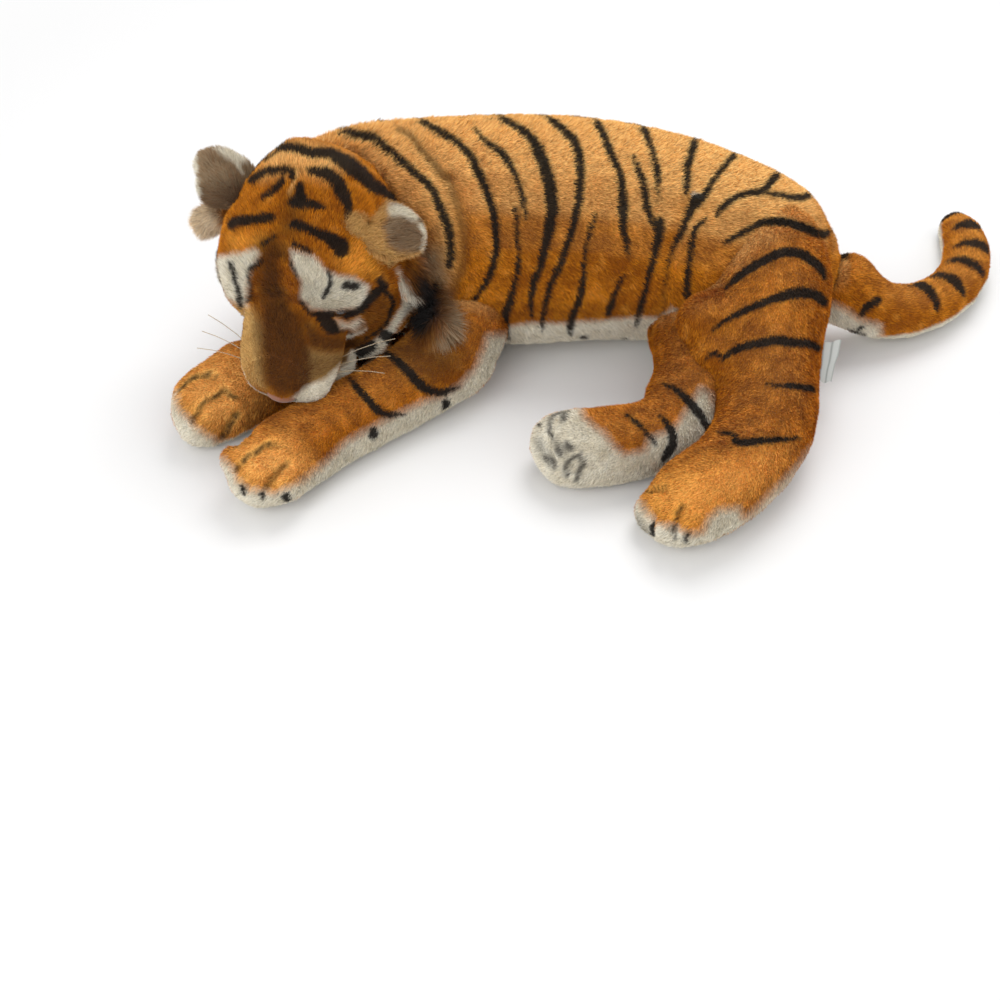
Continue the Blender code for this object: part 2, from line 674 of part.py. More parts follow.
def make_head(torso, legs):
    skull = StuffedForm("skull", head_stations(SKULL_SHARES, 0, HEAD_LENGTH, HEAD_WIDTH, HEAD_HEIGHT),
                        SKULL_SIDES, HEAD_UP, on_floor=False)
    muzzle = StuffedForm("muzzle", head_stations(MUZZLE_SHARES, MUZZLE_START, MUZZLE_LENGTH,
                                                 MUZZLE_WIDTH, MUZZLE_HEIGHT, MUZZLE_ASIDE),
                         MUZZLE_SIDES, HEAD_UP, on_floor=False)
    skull_tree = skin_tree(skull)
    muzzle_tree = skin_tree(muzzle)
    left_normal = HEAD_AXES.col[1]
    left = half_space("head_left", head_point(0, -SEAM_GAP / 2, 0), left_normal)
    right = half_space("head_right", head_point(0, SEAM_GAP / 2, 0), -left_normal)
    holes = []
    pockets = []
    for side, name in ((1, "left"), (-1, "right")):
        hole, pocket = make_eye(side, name, skull_tree, skull)
        holes.append(hole)
        pockets.append(pocket)
    skull.cover("head_cover_left", "orange_pile", [right, holes[0]])
    skull.cover("head_cover_right", "orange_pile", [left, holes[1]])
    skull.stuffing("head_stuffing", pockets)

    bridge_height = head_point(MUZZLE_START, 0, MUZZLE_BRIDGE_LINE)
    upper = half_space("muzzle_above", bridge_height, HEAD_UP)
    lower = half_space("muzzle_below", bridge_height + HEAD_UP * SEAM_GAP, -HEAD_UP)
    muzzle.cover("muzzle_bridge_cover", "brown_pile", [skull.room, lower])
    muzzle.cover("muzzle_side_cover", "white_pile", [skull.room, upper])
    muzzle.stuffing("muzzle_stuffing", [skull.room])

    chin_mesh = ball("chin", head_share_point(CHIN_PLACE_SHARES),
                     (CHIN_LENGTH / 2, CHIN_WIDTH / 2, CHIN_HEIGHT / 2), HEAD_AXES)
    chin = part("chin", chin_mesh, "white_pile")
    boolean(chin, skull.room)
    boolean(chin, muzzle.room)
    for leg in legs:
        boolean(chin, leg.room)

    tip = head_point(MUZZLE_START + MUZZLE_LENGTH * MUZZLE_SHARES[-1][0] - NOSE_DEPTH / 4,
                     MUZZLE_SHARES[-1][0] * MUZZLE_ASIDE,
                     MUZZLE_SHARES[-1][1] * MUZZLE_HEIGHT + NOSE_HEIGHT / 3)
    nose = part("nose", ball("nose", tip, (NOSE_DEPTH / 2, NOSE_WIDTH / 2, NOSE_HEIGHT / 2),
                             HEAD_AXES, 12, 6), "nose_cloth")
    boolean(nose, muzzle.room)

    reach = cutter("ruff_reach", ball("ruff_reach", HEAD_CENTRE,
                                      [NECK_RADIUS - NECK_RUNNING_GAP] * 3, segments=16, rings=10))
    ruffs = []
    for side, name in ((1, "left"), (-1, "right")):
        turn = HEAD_AXES @ Matrix.Rotation(side * RUFF_LEAN, 3, 'Z')
        place = head_share_point(RUFF_PLACE_SHARES, side)
        radii = (RUFF_LENGTH / 2, RUFF_WIDTH / 2, RUFF_HEIGHT / 2)
        ruff = part("cheek_ruff_" + name, ball("cheek_ruff", place, radii, turn), "dark_pile")
        boolean(ruff, reach, 'INTERSECT')
        for other in [skull] + legs:
            boolean(ruff, other.room)
        ruffs.append(cutter("ruff_room_" + name, ball("ruff_room", place,
                                                      [r + SEAM_GAP for r in radii], turn)))
        make_whiskers(side, name, muzzle_tree)
        seat, across = make_ear(side, name, skull, skull_tree)
        print("ear", name, "joint at", tuple(round(v, 4) for v in seat),
              "axis", tuple(round(v, 4) for v in across))
    make_neck(torso, skull, legs, ruffs)


def make_neck(torso, skull, legs, ruffs):
    """The soft fold between the body's front opening and the back of the head."""
    fold = part("neck_fold", torso.skin.copy(), "orange_pile")
    inner = cutter("neck_fold_ball", ball("neck_fold_ball", HEAD_CENTRE,
                                          [NECK_RADIUS - SEAM_GAP] * 3, segments=16, rings=10))
    boolean(fold, inner, 'INTERSECT')
    away = cutter("neck_fold_head", offset_copy(skull.skin, NECK_FOLD_GAP))
    boolean(fold, away)
    for other in [leg.room for leg in legs] + ruffs:
        boolean(fold, other)
    boolean(fold, floor_band("neck_fold_floor", FOLD_LIFT))


def make_label(leg_form):
    """The sewn-in care label, bare, on the outer seam of the left thigh."""
    leg = LEGS["left_hind_leg"]
    joint = torso_point(leg["joint_shares"])
    x, y, lift = LABEL_PLACE_SHARES
    start = Vector((joint.x + x * leg["reach_x"], joint.y + y * leg["reach_y"], lift * joint.z * 2))
    seat, _ = seat_on(skin_tree(leg_form), start, Vector((1, 0, 0)))
    down = Vector((0, -math.cos(LABEL_LEAN), -math.sin(LABEL_LEAN)))
    across = Vector((1, 0, 0))
    face = across.cross(down)
    corner = seat + across * SEAM_GAP * 2
    bm = bmesh.new()
    bmesh.ops.create_cube(bm, size=1)
    for vertex in bm.verts:
        vertex.co = (corner + across * (vertex.co.x + 0.5) * LABEL_WIDTH
                     + down * (vertex.co.y + 0.5) * LABEL_LENGTH
                     + face * vertex.co.z * LABEL_THICKNESS)
    part("care_label", mesh_from_bmesh("care_label", bm), "label_cloth")


def main():
    torso = make_torso()
    left_hind = make_limb("left_hind_leg", LEGS["left_hind_leg"], torso)
    right_hind = make_limb("right_hind_leg", LEGS["right_hind_leg"], torso, [left_hind])
    left_fore = make_limb("left_foreleg", LEGS["left_foreleg"], torso)
    right_fore = make_limb("right_foreleg", LEGS["right_foreleg"], torso, [left_fore])
    make_limb("tail", TAIL, torso, [left_hind])
    make_head(torso, [left_fore, right_fore])
    make_label(left_hind)


main()
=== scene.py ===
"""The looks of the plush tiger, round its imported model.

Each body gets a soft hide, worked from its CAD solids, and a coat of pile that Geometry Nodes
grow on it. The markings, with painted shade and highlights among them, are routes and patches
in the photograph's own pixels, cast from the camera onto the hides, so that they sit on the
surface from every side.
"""
import math

import bmesh
import bpy
import numpy as np
from mathutils import Matrix, Vector
from mathutils.bvhtree import BVHTree
from mathutils.kdtree import KDTree


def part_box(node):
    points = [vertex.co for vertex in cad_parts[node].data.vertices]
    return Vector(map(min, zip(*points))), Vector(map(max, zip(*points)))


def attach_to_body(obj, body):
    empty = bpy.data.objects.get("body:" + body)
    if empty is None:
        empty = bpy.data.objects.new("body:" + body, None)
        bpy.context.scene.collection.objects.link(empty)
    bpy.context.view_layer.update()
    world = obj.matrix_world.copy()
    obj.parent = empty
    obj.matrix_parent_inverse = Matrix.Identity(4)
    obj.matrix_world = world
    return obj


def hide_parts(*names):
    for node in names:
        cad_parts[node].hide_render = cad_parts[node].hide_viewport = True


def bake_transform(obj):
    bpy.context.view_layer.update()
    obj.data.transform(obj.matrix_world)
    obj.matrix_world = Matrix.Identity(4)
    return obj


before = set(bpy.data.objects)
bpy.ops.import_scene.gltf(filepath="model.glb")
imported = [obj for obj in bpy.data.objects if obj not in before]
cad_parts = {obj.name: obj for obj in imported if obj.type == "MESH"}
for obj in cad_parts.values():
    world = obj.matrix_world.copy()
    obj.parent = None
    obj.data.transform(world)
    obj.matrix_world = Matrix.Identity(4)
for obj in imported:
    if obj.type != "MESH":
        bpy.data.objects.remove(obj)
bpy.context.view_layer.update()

# Camera, as the photograph was taken
CAMERA_PLACE = Vector((-0.071, -1.1282, 0.8512))
CAMERA_TILT = math.radians(43.3004)
CAMERA_TURN = Matrix.Rotation(CAMERA_TILT, 3, 'X')
LENS_MM = 40.0
SENSOR_MM = 36.0
FRAME_PIXELS = 1000
PIXEL_SPREAD = SENSOR_MM / LENS_MM / FRAME_PIXELS
PIXEL = 0.0011

# Room
WORLD_LIGHT = 0.75
FLOOR_TONES = ((0.90, 0.90, 0.90), (0.86, 0.86, 0.86))
FLOOR_FADE_START = 0.8
FLOOR_FADE_WIDTH = 0.8

# Hides. A depth draws the skin in under the pile, and a negative one lets it out.
HIDE_VOXEL = 0.0040
HEAD_VOXEL = 0.0028
EAR_VOXEL = 0.0024
NOSE_VOXEL = 0.0011
HIDE_DEPTH = 0.0012
HEAD_DEPTH = -0.0005
TORSO_DEPTH = -0.0015
UNDERSIDE = -0.8
UNDERSIDE_DEPTH_SHARE = 0.25
SEEN_PILE = 0.003
SUNK_RIM = 0.005
UNSEEN = 0.06
SEEN_SQUARELY = 0.15
SIGHT_DEPTHS = np.arange(1.0, 1.8, 0.006)
SIGHT_REACH = 0.025
NO_STRIPE = -6.0
DEEP_IN_STRIPE = 10.0
LAYER_LIMIT = 20
LAYERS = ("amber", "gold", "yellow", "brown", "taupe", "white", "dark", "black")

# Pile
MOST_FIBRES = 190000
FIBRES = 0.95e6
FINE_FIBRES = 1.6e6
FIBRE_WIDTH = 0.0012
FINE_FIBRE_WIDTH = 0.0009
FIRST_SEED = 11
LEAST_PILE = 0.002
LIMB_PILE = 0.0052
TORSO_PILE = 0.0066
SCRUFF_PILE = 0.005
HEAD_PILE = 0.0036
CROWN_PILE = 0.0030
RUFF_PILE = 0.018
TUFT_PILE = 0.004
EAR_PILE = 0.0085
MIRRORED_PILE = 0.009
GROOVE_PILE_SHARE = 0.4
SPARSE = 0.12
FLOOR_CLEARANCE = 0.0004

# Colours
ORANGE = (0.70, 0.262, 0.012)
RUST = (0.38, 0.112, 0.005)
# The gold and brown tints serve both the print and painted highlights and shade.
TINTS = {"amber": (0.90, 0.43, 0.055), "gold": (0.97, 0.63, 0.23), "yellow": (0.66, 0.42, 0.15),
         "taupe": (0.34, 0.25, 0.155), "brown": (0.105, 0.036, 0.007)}
CREAMS = ((0.74, 0.68, 0.55), (0.95, 0.93, 0.84))
DARK = (0.012, 0.009, 0.008)
SOOTS = ((0.008, 0.006, 0.005), (0.030, 0.024, 0.019))
NOSE_PINKS = ((0.23, 0.090, 0.050), (0.35, 0.16, 0.10))
WASHER_GREYS = ((0.70, 0.70, 0.68), (0.78, 0.78, 0.76))
NYLON_TONES = ((0.50, 0.37, 0.20), (0.68, 0.54, 0.34))
# Amber iris tones, painted dark for the shade the eye sits in.
SHADE_DARKENED_IRIS_AMBERS = ((0.03, 0.012, 0.005), (0.10, 0.040, 0.010))
PUPIL = (0.006, 0.005, 0.005)
EYE_RIM = (0.012, 0.008, 0.006)
# The label's white cloth, painted darker for the shade it hangs in, and the painted grey shade of
# its folds.
SHADED_LABEL_WHITES = ((0.50, 0.54, 0.52), (0.70, 0.74, 0.72))
LABEL_FOLD_SHADE = (0.24, 0.27, 0.26)


def operator(operation, reflected=False):
    """A Python operator that adds a Math node."""
    def apply(sock, other):
        parts = (other, sock) if reflected else (sock, other)
        return sock.graph.maths(operation, *parts)
    return apply


class Sock:
    """A node's output that takes part in Python sums. Each sum adds its Math nodes."""

    __add__ = __radd__ = operator("ADD")
    __sub__ = operator("SUBTRACT")
    __rsub__ = operator("SUBTRACT", reflected=True)
    __mul__ = __rmul__ = operator("MULTIPLY")
    __truediv__ = operator("DIVIDE")
    __rtruediv__ = operator("DIVIDE", reflected=True)

    def __init__(self, graph, node, socket):
        self.graph = graph
        self.node = node
        self.socket = socket

    def out(self, name):
        return Sock(self.graph, self.node, self.node.outputs[name])

    def maths(self, operation, *others):
        return self.graph.maths(operation, self, *others)

    def clamped(self):
        return self.maths("MAXIMUM", 0.0).maths("MINIMUM", 1.0)


class Graph:
    """A node tree whose nodes all come from one method."""

    def __init__(self, tree):
        self.tree = tree

    def node(self, kind, settings=None, inputs=None, output=0):
        made = self.tree.nodes.new(kind)
        for name, value in (settings or {}).items():
            setattr(made, name, value)
        for name, value in (inputs or {}).items():
            if isinstance(value, Sock):
                self.link(value, made.inputs[name])
            else:
                made.inputs[name].default_value = value
        return Sock(self, made, made.outputs[output] if made.outputs else None)

    def link(self, sock, socket):
        self.tree.links.new(sock.socket, socket)

    def maths(self, operation, *parts):
        return self.node("ShaderNodeMath", {"operation": operation}, dict(enumerate(parts)))

    def vector(self, operation, *parts, output=0):
        return self.node("ShaderNodeVectorMath", {"operation": operation},
                         dict(enumerate(parts)), output)


class Shader(Graph):
    """A material's nodes."""

    def __init__(self, name):
        self.material = bpy.data.materials.new(name)
        self.material.use_nodes = True
        super().__init__(self.material.node_tree)
        self.tree.nodes.clear()
        self.surface = self.node("ShaderNodeOutputMaterial").node.inputs["Surface"]

    def attribute(self, name, output="Fac"):
        return self.node("ShaderNodeAttribute", {"attribute_name": name}, output=output)

    def place(self):
        return self.node("ShaderNodeTexCoord", output="Object")

    def noise(self, scale, detail=2.0):
        return self.node("ShaderNodeTexNoise", None,
                         {"Vector": self.place(), "Scale": scale, "Detail": detail,
                          "Roughness": 0.55}, "Fac")

    def mix(self, share, first, second, blend='MIX'):
        made = self.node("ShaderNodeMix", {"data_type": 'RGBA', "blend_type": blend}, {0: share})
        for socket, value in ((made.node.inputs[6], first), (made.node.inputs[7], second)):
            if isinstance(value, Sock):
                self.link(value, socket)
            else:
                socket.default_value = (*value, 1)
        return Sock(self, made.node, made.node.outputs[2])

    def bump(self, height, strength, distance):
        return self.node("ShaderNodeBump", None,
                         {"Height": height, "Strength": strength, "Distance": distance})

    def principled(self, **inputs):
        named = {name.replace("_", " "): value for name, value in inputs.items()}
        self.link(self.node("ShaderNodeBsdfPrincipled", None, named), self.surface)
        return self.material


def add_object(name, data):
    made = bpy.data.objects.new(name, data)
    bpy.context.scene.collection.objects.link(made)
    return made


def to_mesh(name, bm):
    mesh = bpy.data.meshes.new(name)
    bm.to_mesh(mesh)
    bm.free()
    return mesh


def evaluated_mesh(obj):
    """The plain mesh of an object with its modifiers, which takes the object away."""
    bpy.context.view_layer.update()
    found = obj.evaluated_get(bpy.context.evaluated_depsgraph_get())
    mesh = bpy.data.meshes.new_from_object(found)
    bpy.data.objects.remove(obj)
    return mesh


def shade_smooth(mesh):
    for polygon in mesh.polygons:
        polygon.use_smooth = True


# Camera, lights and the floor

def photo_directions(pixels):
    """Unit directions from the camera through places in the photograph, in pixels."""
    pixels = np.asarray(pixels, float)
    local = np.stack([(pixels[:, 0] - FRAME_PIXELS / 2) * PIXEL_SPREAD,
                      (FRAME_PIXELS / 2 - pixels[:, 1]) * PIXEL_SPREAD,
                      -np.ones(len(pixels))], axis=1)
    ways = local @ np.array(CAMERA_TURN).T
    return ways / np.linalg.norm(ways, axis=1)[:, None]


def photo_pixels(points):
    """Where points in the room are in the photograph."""
    local = (np.asarray(points) - np.array(CAMERA_PLACE)) @ np.array(CAMERA_TURN)
    return np.stack([FRAME_PIXELS / 2 + local[:, 0] / -local[:, 2] / PIXEL_SPREAD,
                     FRAME_PIXELS / 2 - local[:, 1] / -local[:, 2] / PIXEL_SPREAD], axis=1)


def make_camera():
    data = bpy.data.cameras.new("camera")
    data.lens = LENS_MM
    data.sensor_width = SENSOR_MM
    data.clip_start = 0.01
    camera = add_object("camera", data)
    camera.location = CAMERA_PLACE
    camera.rotation_euler = (CAMERA_TILT, 0, 0)
    bpy.context.scene.camera = camera


def make_lamp(name, place, aim, size, power):
    data = bpy.data.lights.new(name, 'AREA')
    data.shape = 'DISK'
    data.size = size
    data.energy = power
    lamp = add_object(name, data)
    lamp.location = place
    lamp.rotation_euler = (Vector(aim) - Vector(place)).to_track_quat('-Z', 'Y').to_euler()


def seen_share(graph):
    """1 for what the camera sees, straight, in gloss or through glass, and 0 for other light."""
    path = graph.node("ShaderNodeLightPath")
    seen = path.out("Is Camera Ray")
    for ray in ("Is Glossy Ray", "Is Transmission Ray"):
        seen = seen.maths("MAXIMUM", path.out(ray))
    return seen


def make_sky():
    bpy.context.scene.world = bpy.data.worlds.new("room")
    bpy.context.scene.world.use_nodes = True
    graph = Graph(bpy.context.scene.world.node_tree)
    graph.tree.nodes.clear()
    strength = seen_share(graph) * (1 - WORLD_LIGHT) + WORLD_LIGHT
    sky = graph.node("ShaderNodeBackground", None, {"Color": (1, 1, 1, 1), "Strength": strength})
    graph.link(sky, graph.node("ShaderNodeOutputWorld").node.inputs["Surface"])


def make_floor():
    """A pale floor that keeps the tiger's shadow and fades to white further out."""
    bm = bmesh.new()
    bmesh.ops.create_grid(bm, x_segments=1, y_segments=1, size=40)
    floor = add_object("floor", to_mesh("floor", bm))
    shader = Shader("pale_floor")
    tone = shader.mix(shader.noise(2.0) * 0.1, *FLOOR_TONES)
    floor.data.materials.append(shader.principled(Base_Color=tone, Roughness=0.7))
    lit = Sock(shader, None, shader.surface.links[0].from_socket)
    glow = shader.node("ShaderNodeEmission", None, {"Color": (1, 1, 1, 1), "Strength": 1.0})
    gap = shader.vector("LENGTH", shader.place(), output="Value")
    far = ((gap - FLOOR_FADE_START) / FLOOR_FADE_WIDTH).clamped()
    share = far * far * (3 - far * 2) * seen_share(shader)
    shader.link(shader.node("ShaderNodeMixShader", None, {0: share, 1: lit, 2: glow}),
                shader.surface)


def make_room():
    bpy.context.scene.view_settings.view_transform = 'Standard'
    make_sky()
    make_lamp("high_window", (0.5, 0.9, 1.9), aim=(0.0, -0.1, 0.1), size=1.4, power=20)
    make_lamp("front_fill", (-0.9, -1.5, 1.3), aim=(0.0, -0.15, 0.1), size=1.6, power=13)
    make_floor()


# Hides

def joined(name, nodes, mounds=()):
    """One mesh of several CAD nodes' shapes and of mounds, each a centre and its radii."""
    bm = bmesh.new()
    for node in nodes:
        bm.from_mesh(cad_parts[node].data)
    bmesh.ops.remove_doubles(bm, verts=bm.verts, dist=1e-5)
    for centre, radii in mounds:
        matrix = Matrix.Translation(centre) @ Matrix.Diagonal((*radii, 1))
        bmesh.ops.create_icosphere(bm, subdivisions=3, radius=1, matrix=matrix)
    return to_mesh(name, bm)


def largest_island(bm):
    left = set(bm.verts)
    best = []
    while left:
        start = left.pop()
        island = [start]
        queue = [start]
        while queue:
            for edge in (vertex := queue.pop()).link_edges:
                other = edge.other_vert(vertex)
                if other in left:
                    left.discard(other)
                    island.append(other)
                    queue.append(other)
        if len(island) > len(best):
            best = island
    keep = set(best)
    bmesh.ops.delete(bm, geom=[v for v in bm.verts if v not in keep], context='VERTS')


def smooth(bm, factor, times):
    for _ in range(times):
        bmesh.ops.smooth_vert(bm, verts=bm.verts, factor=factor, use_axis_x=True,
                              use_axis_y=True, use_axis_z=True)


def remeshed(mesh, voxel, smoothing, depth):
    """A closed, even and soft skin round a mesh, drawn in by a depth for the pile to stand on."""
    work = add_object("work", mesh)
    remesh = work.modifiers.new("skin", 'REMESH')
    remesh.mode = 'VOXEL'
    remesh.voxel_size = voxel
    skin = evaluated_mesh(work)
    bm = bmesh.new()
    bm.from_mesh(skin)
    largest_island(bm)
    smooth(bm, 0.6, smoothing)
    bm.normal_update()
    for vertex in bm.verts:
        share = UNDERSIDE_DEPTH_SHARE if vertex.normal.z <= UNDERSIDE else 1
        vertex.co -= vertex.normal * depth * share
    smooth(bm, 0.5, 2)
    bm.to_mesh(skin)
    bm.free()
    shade_smooth(skin)
    return skin


def point_tree(points):
    """A tree that finds the nearest of some points."""
    tree = KDTree(len(points))
    for i, point in enumerate(points):
        tree.insert(point, i)
    tree.balance()
    return tree


def read_vectors(collection, field):
    values = np.empty(len(collection) * 3)
    collection.foreach_get(field, values)
    return values.reshape(-1, 3)


def soft_share(depth, softness):
    """From 0 outside to 1 inside, over an edge as wide as twice the softness."""
    return np.clip(0.5 + depth / (2 * softness), 0, 1)


def smoothstep(low, high, value):
    share = np.clip((value - low) / (high - low), 0, 1)
    return share * share * (3 - 2 * share)


class Hide:
    """One body's skin, with arrays for its markings, its painted shade and highlights, and its
    pile.
    """

    def __init__(self, name, body, nodes, mounds=(), voxel=HIDE_VOXEL, smoothing=6,
                 depth=HIDE_DEPTH):
        self.name = name
        self.body = body
        self.nodes = nodes
        self.mesh = remeshed(joined(name, nodes, mounds), voxel, smoothing, depth)
        self.mesh.name = name
        self.refresh()
        self.layers = {layer: np.zeros(len(self.co)) for layer in LAYERS}
        self.layers["black"] += NO_STRIPE
        self.length = np.full(len(self.co), LIMB_PILE)
        self.share = np.ones(len(self.co))
        self.comb = np.zeros((len(self.co), 3))

    def refresh(self):
        """Reads the shape again after a change."""
        self.co = read_vectors(self.mesh.vertices, "co")
        self.normal = read_vectors(self.mesh.vertex_normals, "vector")
        self.tree = BVHTree.FromPolygons([Vector(c) for c in self.co],
                                         [p.vertices for p in self.mesh.polygons])
        self.pixels = photo_pixels(self.co + self.normal * SEEN_PILE)
        view = np.array(CAMERA_PLACE) - self.co
        view /= np.linalg.norm(view, axis=1)[:, None]
        self.facing = np.einsum('ij,ij->i', view, self.normal)

    def move(self, offsets):
        self.co = self.co + offsets
        self.mesh.vertices.foreach_set("co", self.co.ravel())
        self.mesh.update()
        self.refresh()

    def grown_area(self):
        """The area that the coat stands on, less where it is thin."""
        return sum(p.area * self.share[list(p.vertices)].mean() for p in self.mesh.polygons)

    def gap(self, centre):
        return np.linalg.norm(self.co - np.array(centre), axis=1)

    def round_place(self, centre, reach):
        """1 at a place, and less and less further from it."""
        return np.exp(-(self.gap(centre) / reach) ** 2)

    def near(self, points, most=0.1):
        """Each vertex's distance to the nearest of some points, or most if it is further."""
        tree = point_tree(points)
        return np.minimum(np.array([tree.find(Vector(c))[2] for c in self.co]), most)

    def near_pixels(self, pixels):
        return self.near([drop(place, [self]) for place in pixels])

    def within(self, low, high):
        return np.nonzero(((self.co > low) & (self.co < high)).all(axis=1))[0]

    def crease(self, lines, depth, reach):
        """Pushes a groove in along lines in the photograph."""
        for route in lines:
            gap = self.near(cast(route, [self])[0], reach * 4)
            amount = depth * np.exp(-(gap / reach) ** 2)
            self.move(-self.normal * amount[:, None])

    def swell(self, place, reach, height):
        """Raises a soft mound round a place in the photograph."""
        share = self.round_place(drop(place, [self]), reach)
        self.move(self.normal * (height * share)[:, None])

    def slide(self, centre, reach, offset):
        """Moves the skin round a place by an offset, less and less further from it."""
        self.move(np.array(offset) * self.round_place(centre, reach)[:, None])

    def relax(self, centre, reach, times):
        """Evens out the skin round a place."""
        share = 0.6 * self.round_place(centre, reach)
        ends = np.empty(len(self.mesh.edges) * 2, np.int32)
        self.mesh.edges.foreach_get("vertices", ends)
        first, second = ends.reshape(-1, 2).T
        count = np.bincount(ends, minlength=len(self.co))[:, None]
        even = self.co.copy()
        for _ in range(times):
            total = np.zeros_like(even)
            np.add.at(total, first, even[second])
            np.add.at(total, second, even[first])
            even += share[:, None] * (total / count - even)
        self.move(even - self.co)

    def settle(self, other, reach):
        """Lowers what stands just proud of another hide, so that it grows out of it smoothly."""
        offsets = np.zeros_like(self.co)
        for i in self.within(other.co.min(axis=0) - reach, other.co.max(axis=0) + reach):
            place = Vector(self.co[i])
            near, normal, _, gap = other.tree.find_nearest(place)
            if (place - near).dot(normal) < 0:
                gap = -gap
            if abs(gap) < reach:
                share = max(gap, 0) / reach
                sunk = SUNK_RIM * (1 - abs(gap) / reach) ** 2
                wanted = reach * share * share * (2 - share) - sunk
                offsets[i] = -normal * (max(gap, 0) - wanted)
        self.move(offsets)

    def inside(self, other):
        """How deep each vertex lies in another hide, in metres. Outside is negative."""
        depth = np.full(len(self.co), -1.0)
        for i in self.within(other.co.min(axis=0) - 0.01, other.co.max(axis=0) + 0.01):
            place, normal, _, gap = other.tree.find_nearest(Vector(self.co[i]))
            depth[i] = gap if (Vector(self.co[i]) - place).dot(normal) < 0 else -gap
        return depth

    def mirror(self, centre, axis):
        """Copies the seen side's marks to the side that the camera doesn't see."""
        centre, axis = np.array(centre), np.array(axis)
        tree = point_tree(self.co)
        for i in np.nonzero(self.facing < UNSEEN)[0]:
            place = self.co[i] - 2 * ((self.co[i] - centre) @ axis) * axis
            twin = tree.find(Vector(place))[1]
            if self.facing[twin] > 0:
                for layer in self.layers.values():
                    layer[i] = layer[twin]
                self.length[i] = min(self.length[twin], MIRRORED_PILE)

    def add(self, layer, share):
        self.layers[layer] = np.maximum(self.layers[layer], share)

    def patch(self, layer, softness, amount, corners):
        """Adds to a layer inside a patch of the photograph, with a soft edge in pixels."""
        share = soft_share(polygon_depth(self.pixels, corners), softness)
        self.add(layer, share * np.clip(self.facing * 5 + 0.5, 0, 1) * amount)

    def fade(self, layer, softness, corners):
        """Clears a layer inside a patch of the photograph."""
        share = soft_share(polygon_depth(self.pixels, corners), softness) * (self.facing > 0)
        blank = NO_STRIPE if layer == "black" else 0
        self.layers[layer] += (blank - self.layers[layer]) * share

    def stroke(self, layer, points, widths, edge=0.002, amount=1.0):
        """Paints a soft line. The black layer keeps its depth in millimetres from the edge.

        Where the camera sees the hide squarely, the line is as wide as in the photograph.
        """
        tree = point_tree(points)
        points = np.array([list(point) for point in points])
        seen = point_tree([(*pixel, 0) for pixel in photo_pixels(points)])
        half = np.asarray(widths) / 2
        widest = 3 * half.max() + 4 * edge
        depth = np.full(len(self.co), -1.0)
        flat = photo_pixels(self.co)
        for i in self.within(points.min(axis=0) - widest, points.max(axis=0) + widest):
            near = tree.find_n(Vector(self.co[i]), 3)
            depth[i] = max(half[index] - gap for _, index, gap in near)
            if self.facing[i] > SEEN_SQUARELY and near[0][2] < widest:
                near = seen.find_n((*flat[i], 0), 3)
                depth[i] = max(half[index] - gap * PIXEL for _, index, gap in near)
        if layer == "black":
            self.add(layer, depth * 1000)
        else:
            self.add(layer, soft_share(depth, edge) * amount)

    def write(self, name, values, kind='FLOAT', field="value"):
        made = self.mesh.attributes.new(name, kind, 'POINT')
        made.data.foreach_set(field, np.ascontiguousarray(values, dtype=np.float32).ravel())

    def finish(self):
        """Writes the arrays to the mesh and makes the piece."""
        for layer in LAYERS:
            self.write(layer, np.clip(self.layers[layer], -LAYER_LIMIT, LAYER_LIMIT))
        self.write("pile_length", np.maximum(self.length, LEAST_PILE))
        self.write("pile_share", self.share)
        self.write("comb", self.comb, 'FLOAT_VECTOR', "vector")
        return add_object(self.name, self.mesh)


def polygon_depth(pixels, corners):
    """Distance of places to a polygon's edge, positive inside."""
    corners = np.array(corners)
    nearest = np.full(len(pixels), 1e9)
    inside = np.zeros(len(pixels), bool)
    for start, end in zip(corners, np.roll(corners, -1, axis=0)):
        edge = end - start
        share = np.clip(((pixels - start) @ edge) / max(edge @ edge, 1e-9), 0, 1)
        gap = np.linalg.norm(pixels - start - share[:, None] * edge, axis=1)
        nearest = np.minimum(nearest, gap)
        crosses = (start[1] > pixels[:, 1]) != (end[1] > pixels[:, 1])
        rise = end[1] - start[1] if end[1] != start[1] else 1e-9
        at = start[0] + (pixels[:, 1] - start[1]) / rise * edge[0]
        inside ^= crosses & (pixels[:, 0] < at)
    return np.where(inside, nearest, -nearest)


def smooth_route(points, step):
    """A Catmull-Rom curve through given points."""
    points = np.array(points, float)
    padded = np.vstack([2 * points[0] - points[1], points, 2 * points[-1] - points[-2]])
    route = []
    for i in range(1, len(padded) - 2):
        before, start, end, after = padded[i - 1:i + 3]
        count = max(2, int(np.linalg.norm(end[:2] - start[:2]) / step) + 1)
        for t in np.arange(count) / count:
            route.append(0.5 * (2 * start + (end - before) * t
                                + (2 * before - 5 * start + 4 * end - after) * t * t
                                + (3 * start - before - 3 * end + after) * t ** 3))
    route.append(padded[-2])
    return np.array(route)


def drop(place, hides):
    """The place on the nearest of some hides behind a place in the photograph.

    A place just off every hide takes the nearest place to its line of sight.
    """
    way = Vector(photo_directions([place])[0])
    best = None
    for hide in hides:
        hit, _, _, gap = hide.tree.ray_cast(CAMERA_PLACE, way)
        if hit is not None and (best is None or gap < best[1]):
            best = (hide, gap)
    if best:
        seen = CAMERA_PLACE + way * (best[1] - SEEN_PILE)
        return best[0].tree.find_nearest(seen)[0]
    for depth in SIGHT_DEPTHS:
        for hide in hides:
            near, _, _, gap = hide.tree.find_nearest(CAMERA_PLACE + way * depth, SIGHT_REACH)
            if near is not None and (best is None or gap < best[1]):
                best = (near, gap)
    return best[0] if best else None


def cast(route, hides):
    """A route in the photograph, dropped onto some hides, with its widths in metres."""
    found = [(drop((x, y), hides), width * PIXEL) for x, y, width in route]
    found = [pair for pair in found if pair[0] is not None]
    return [pair[0] for pair in found], [pair[1] for pair in found]


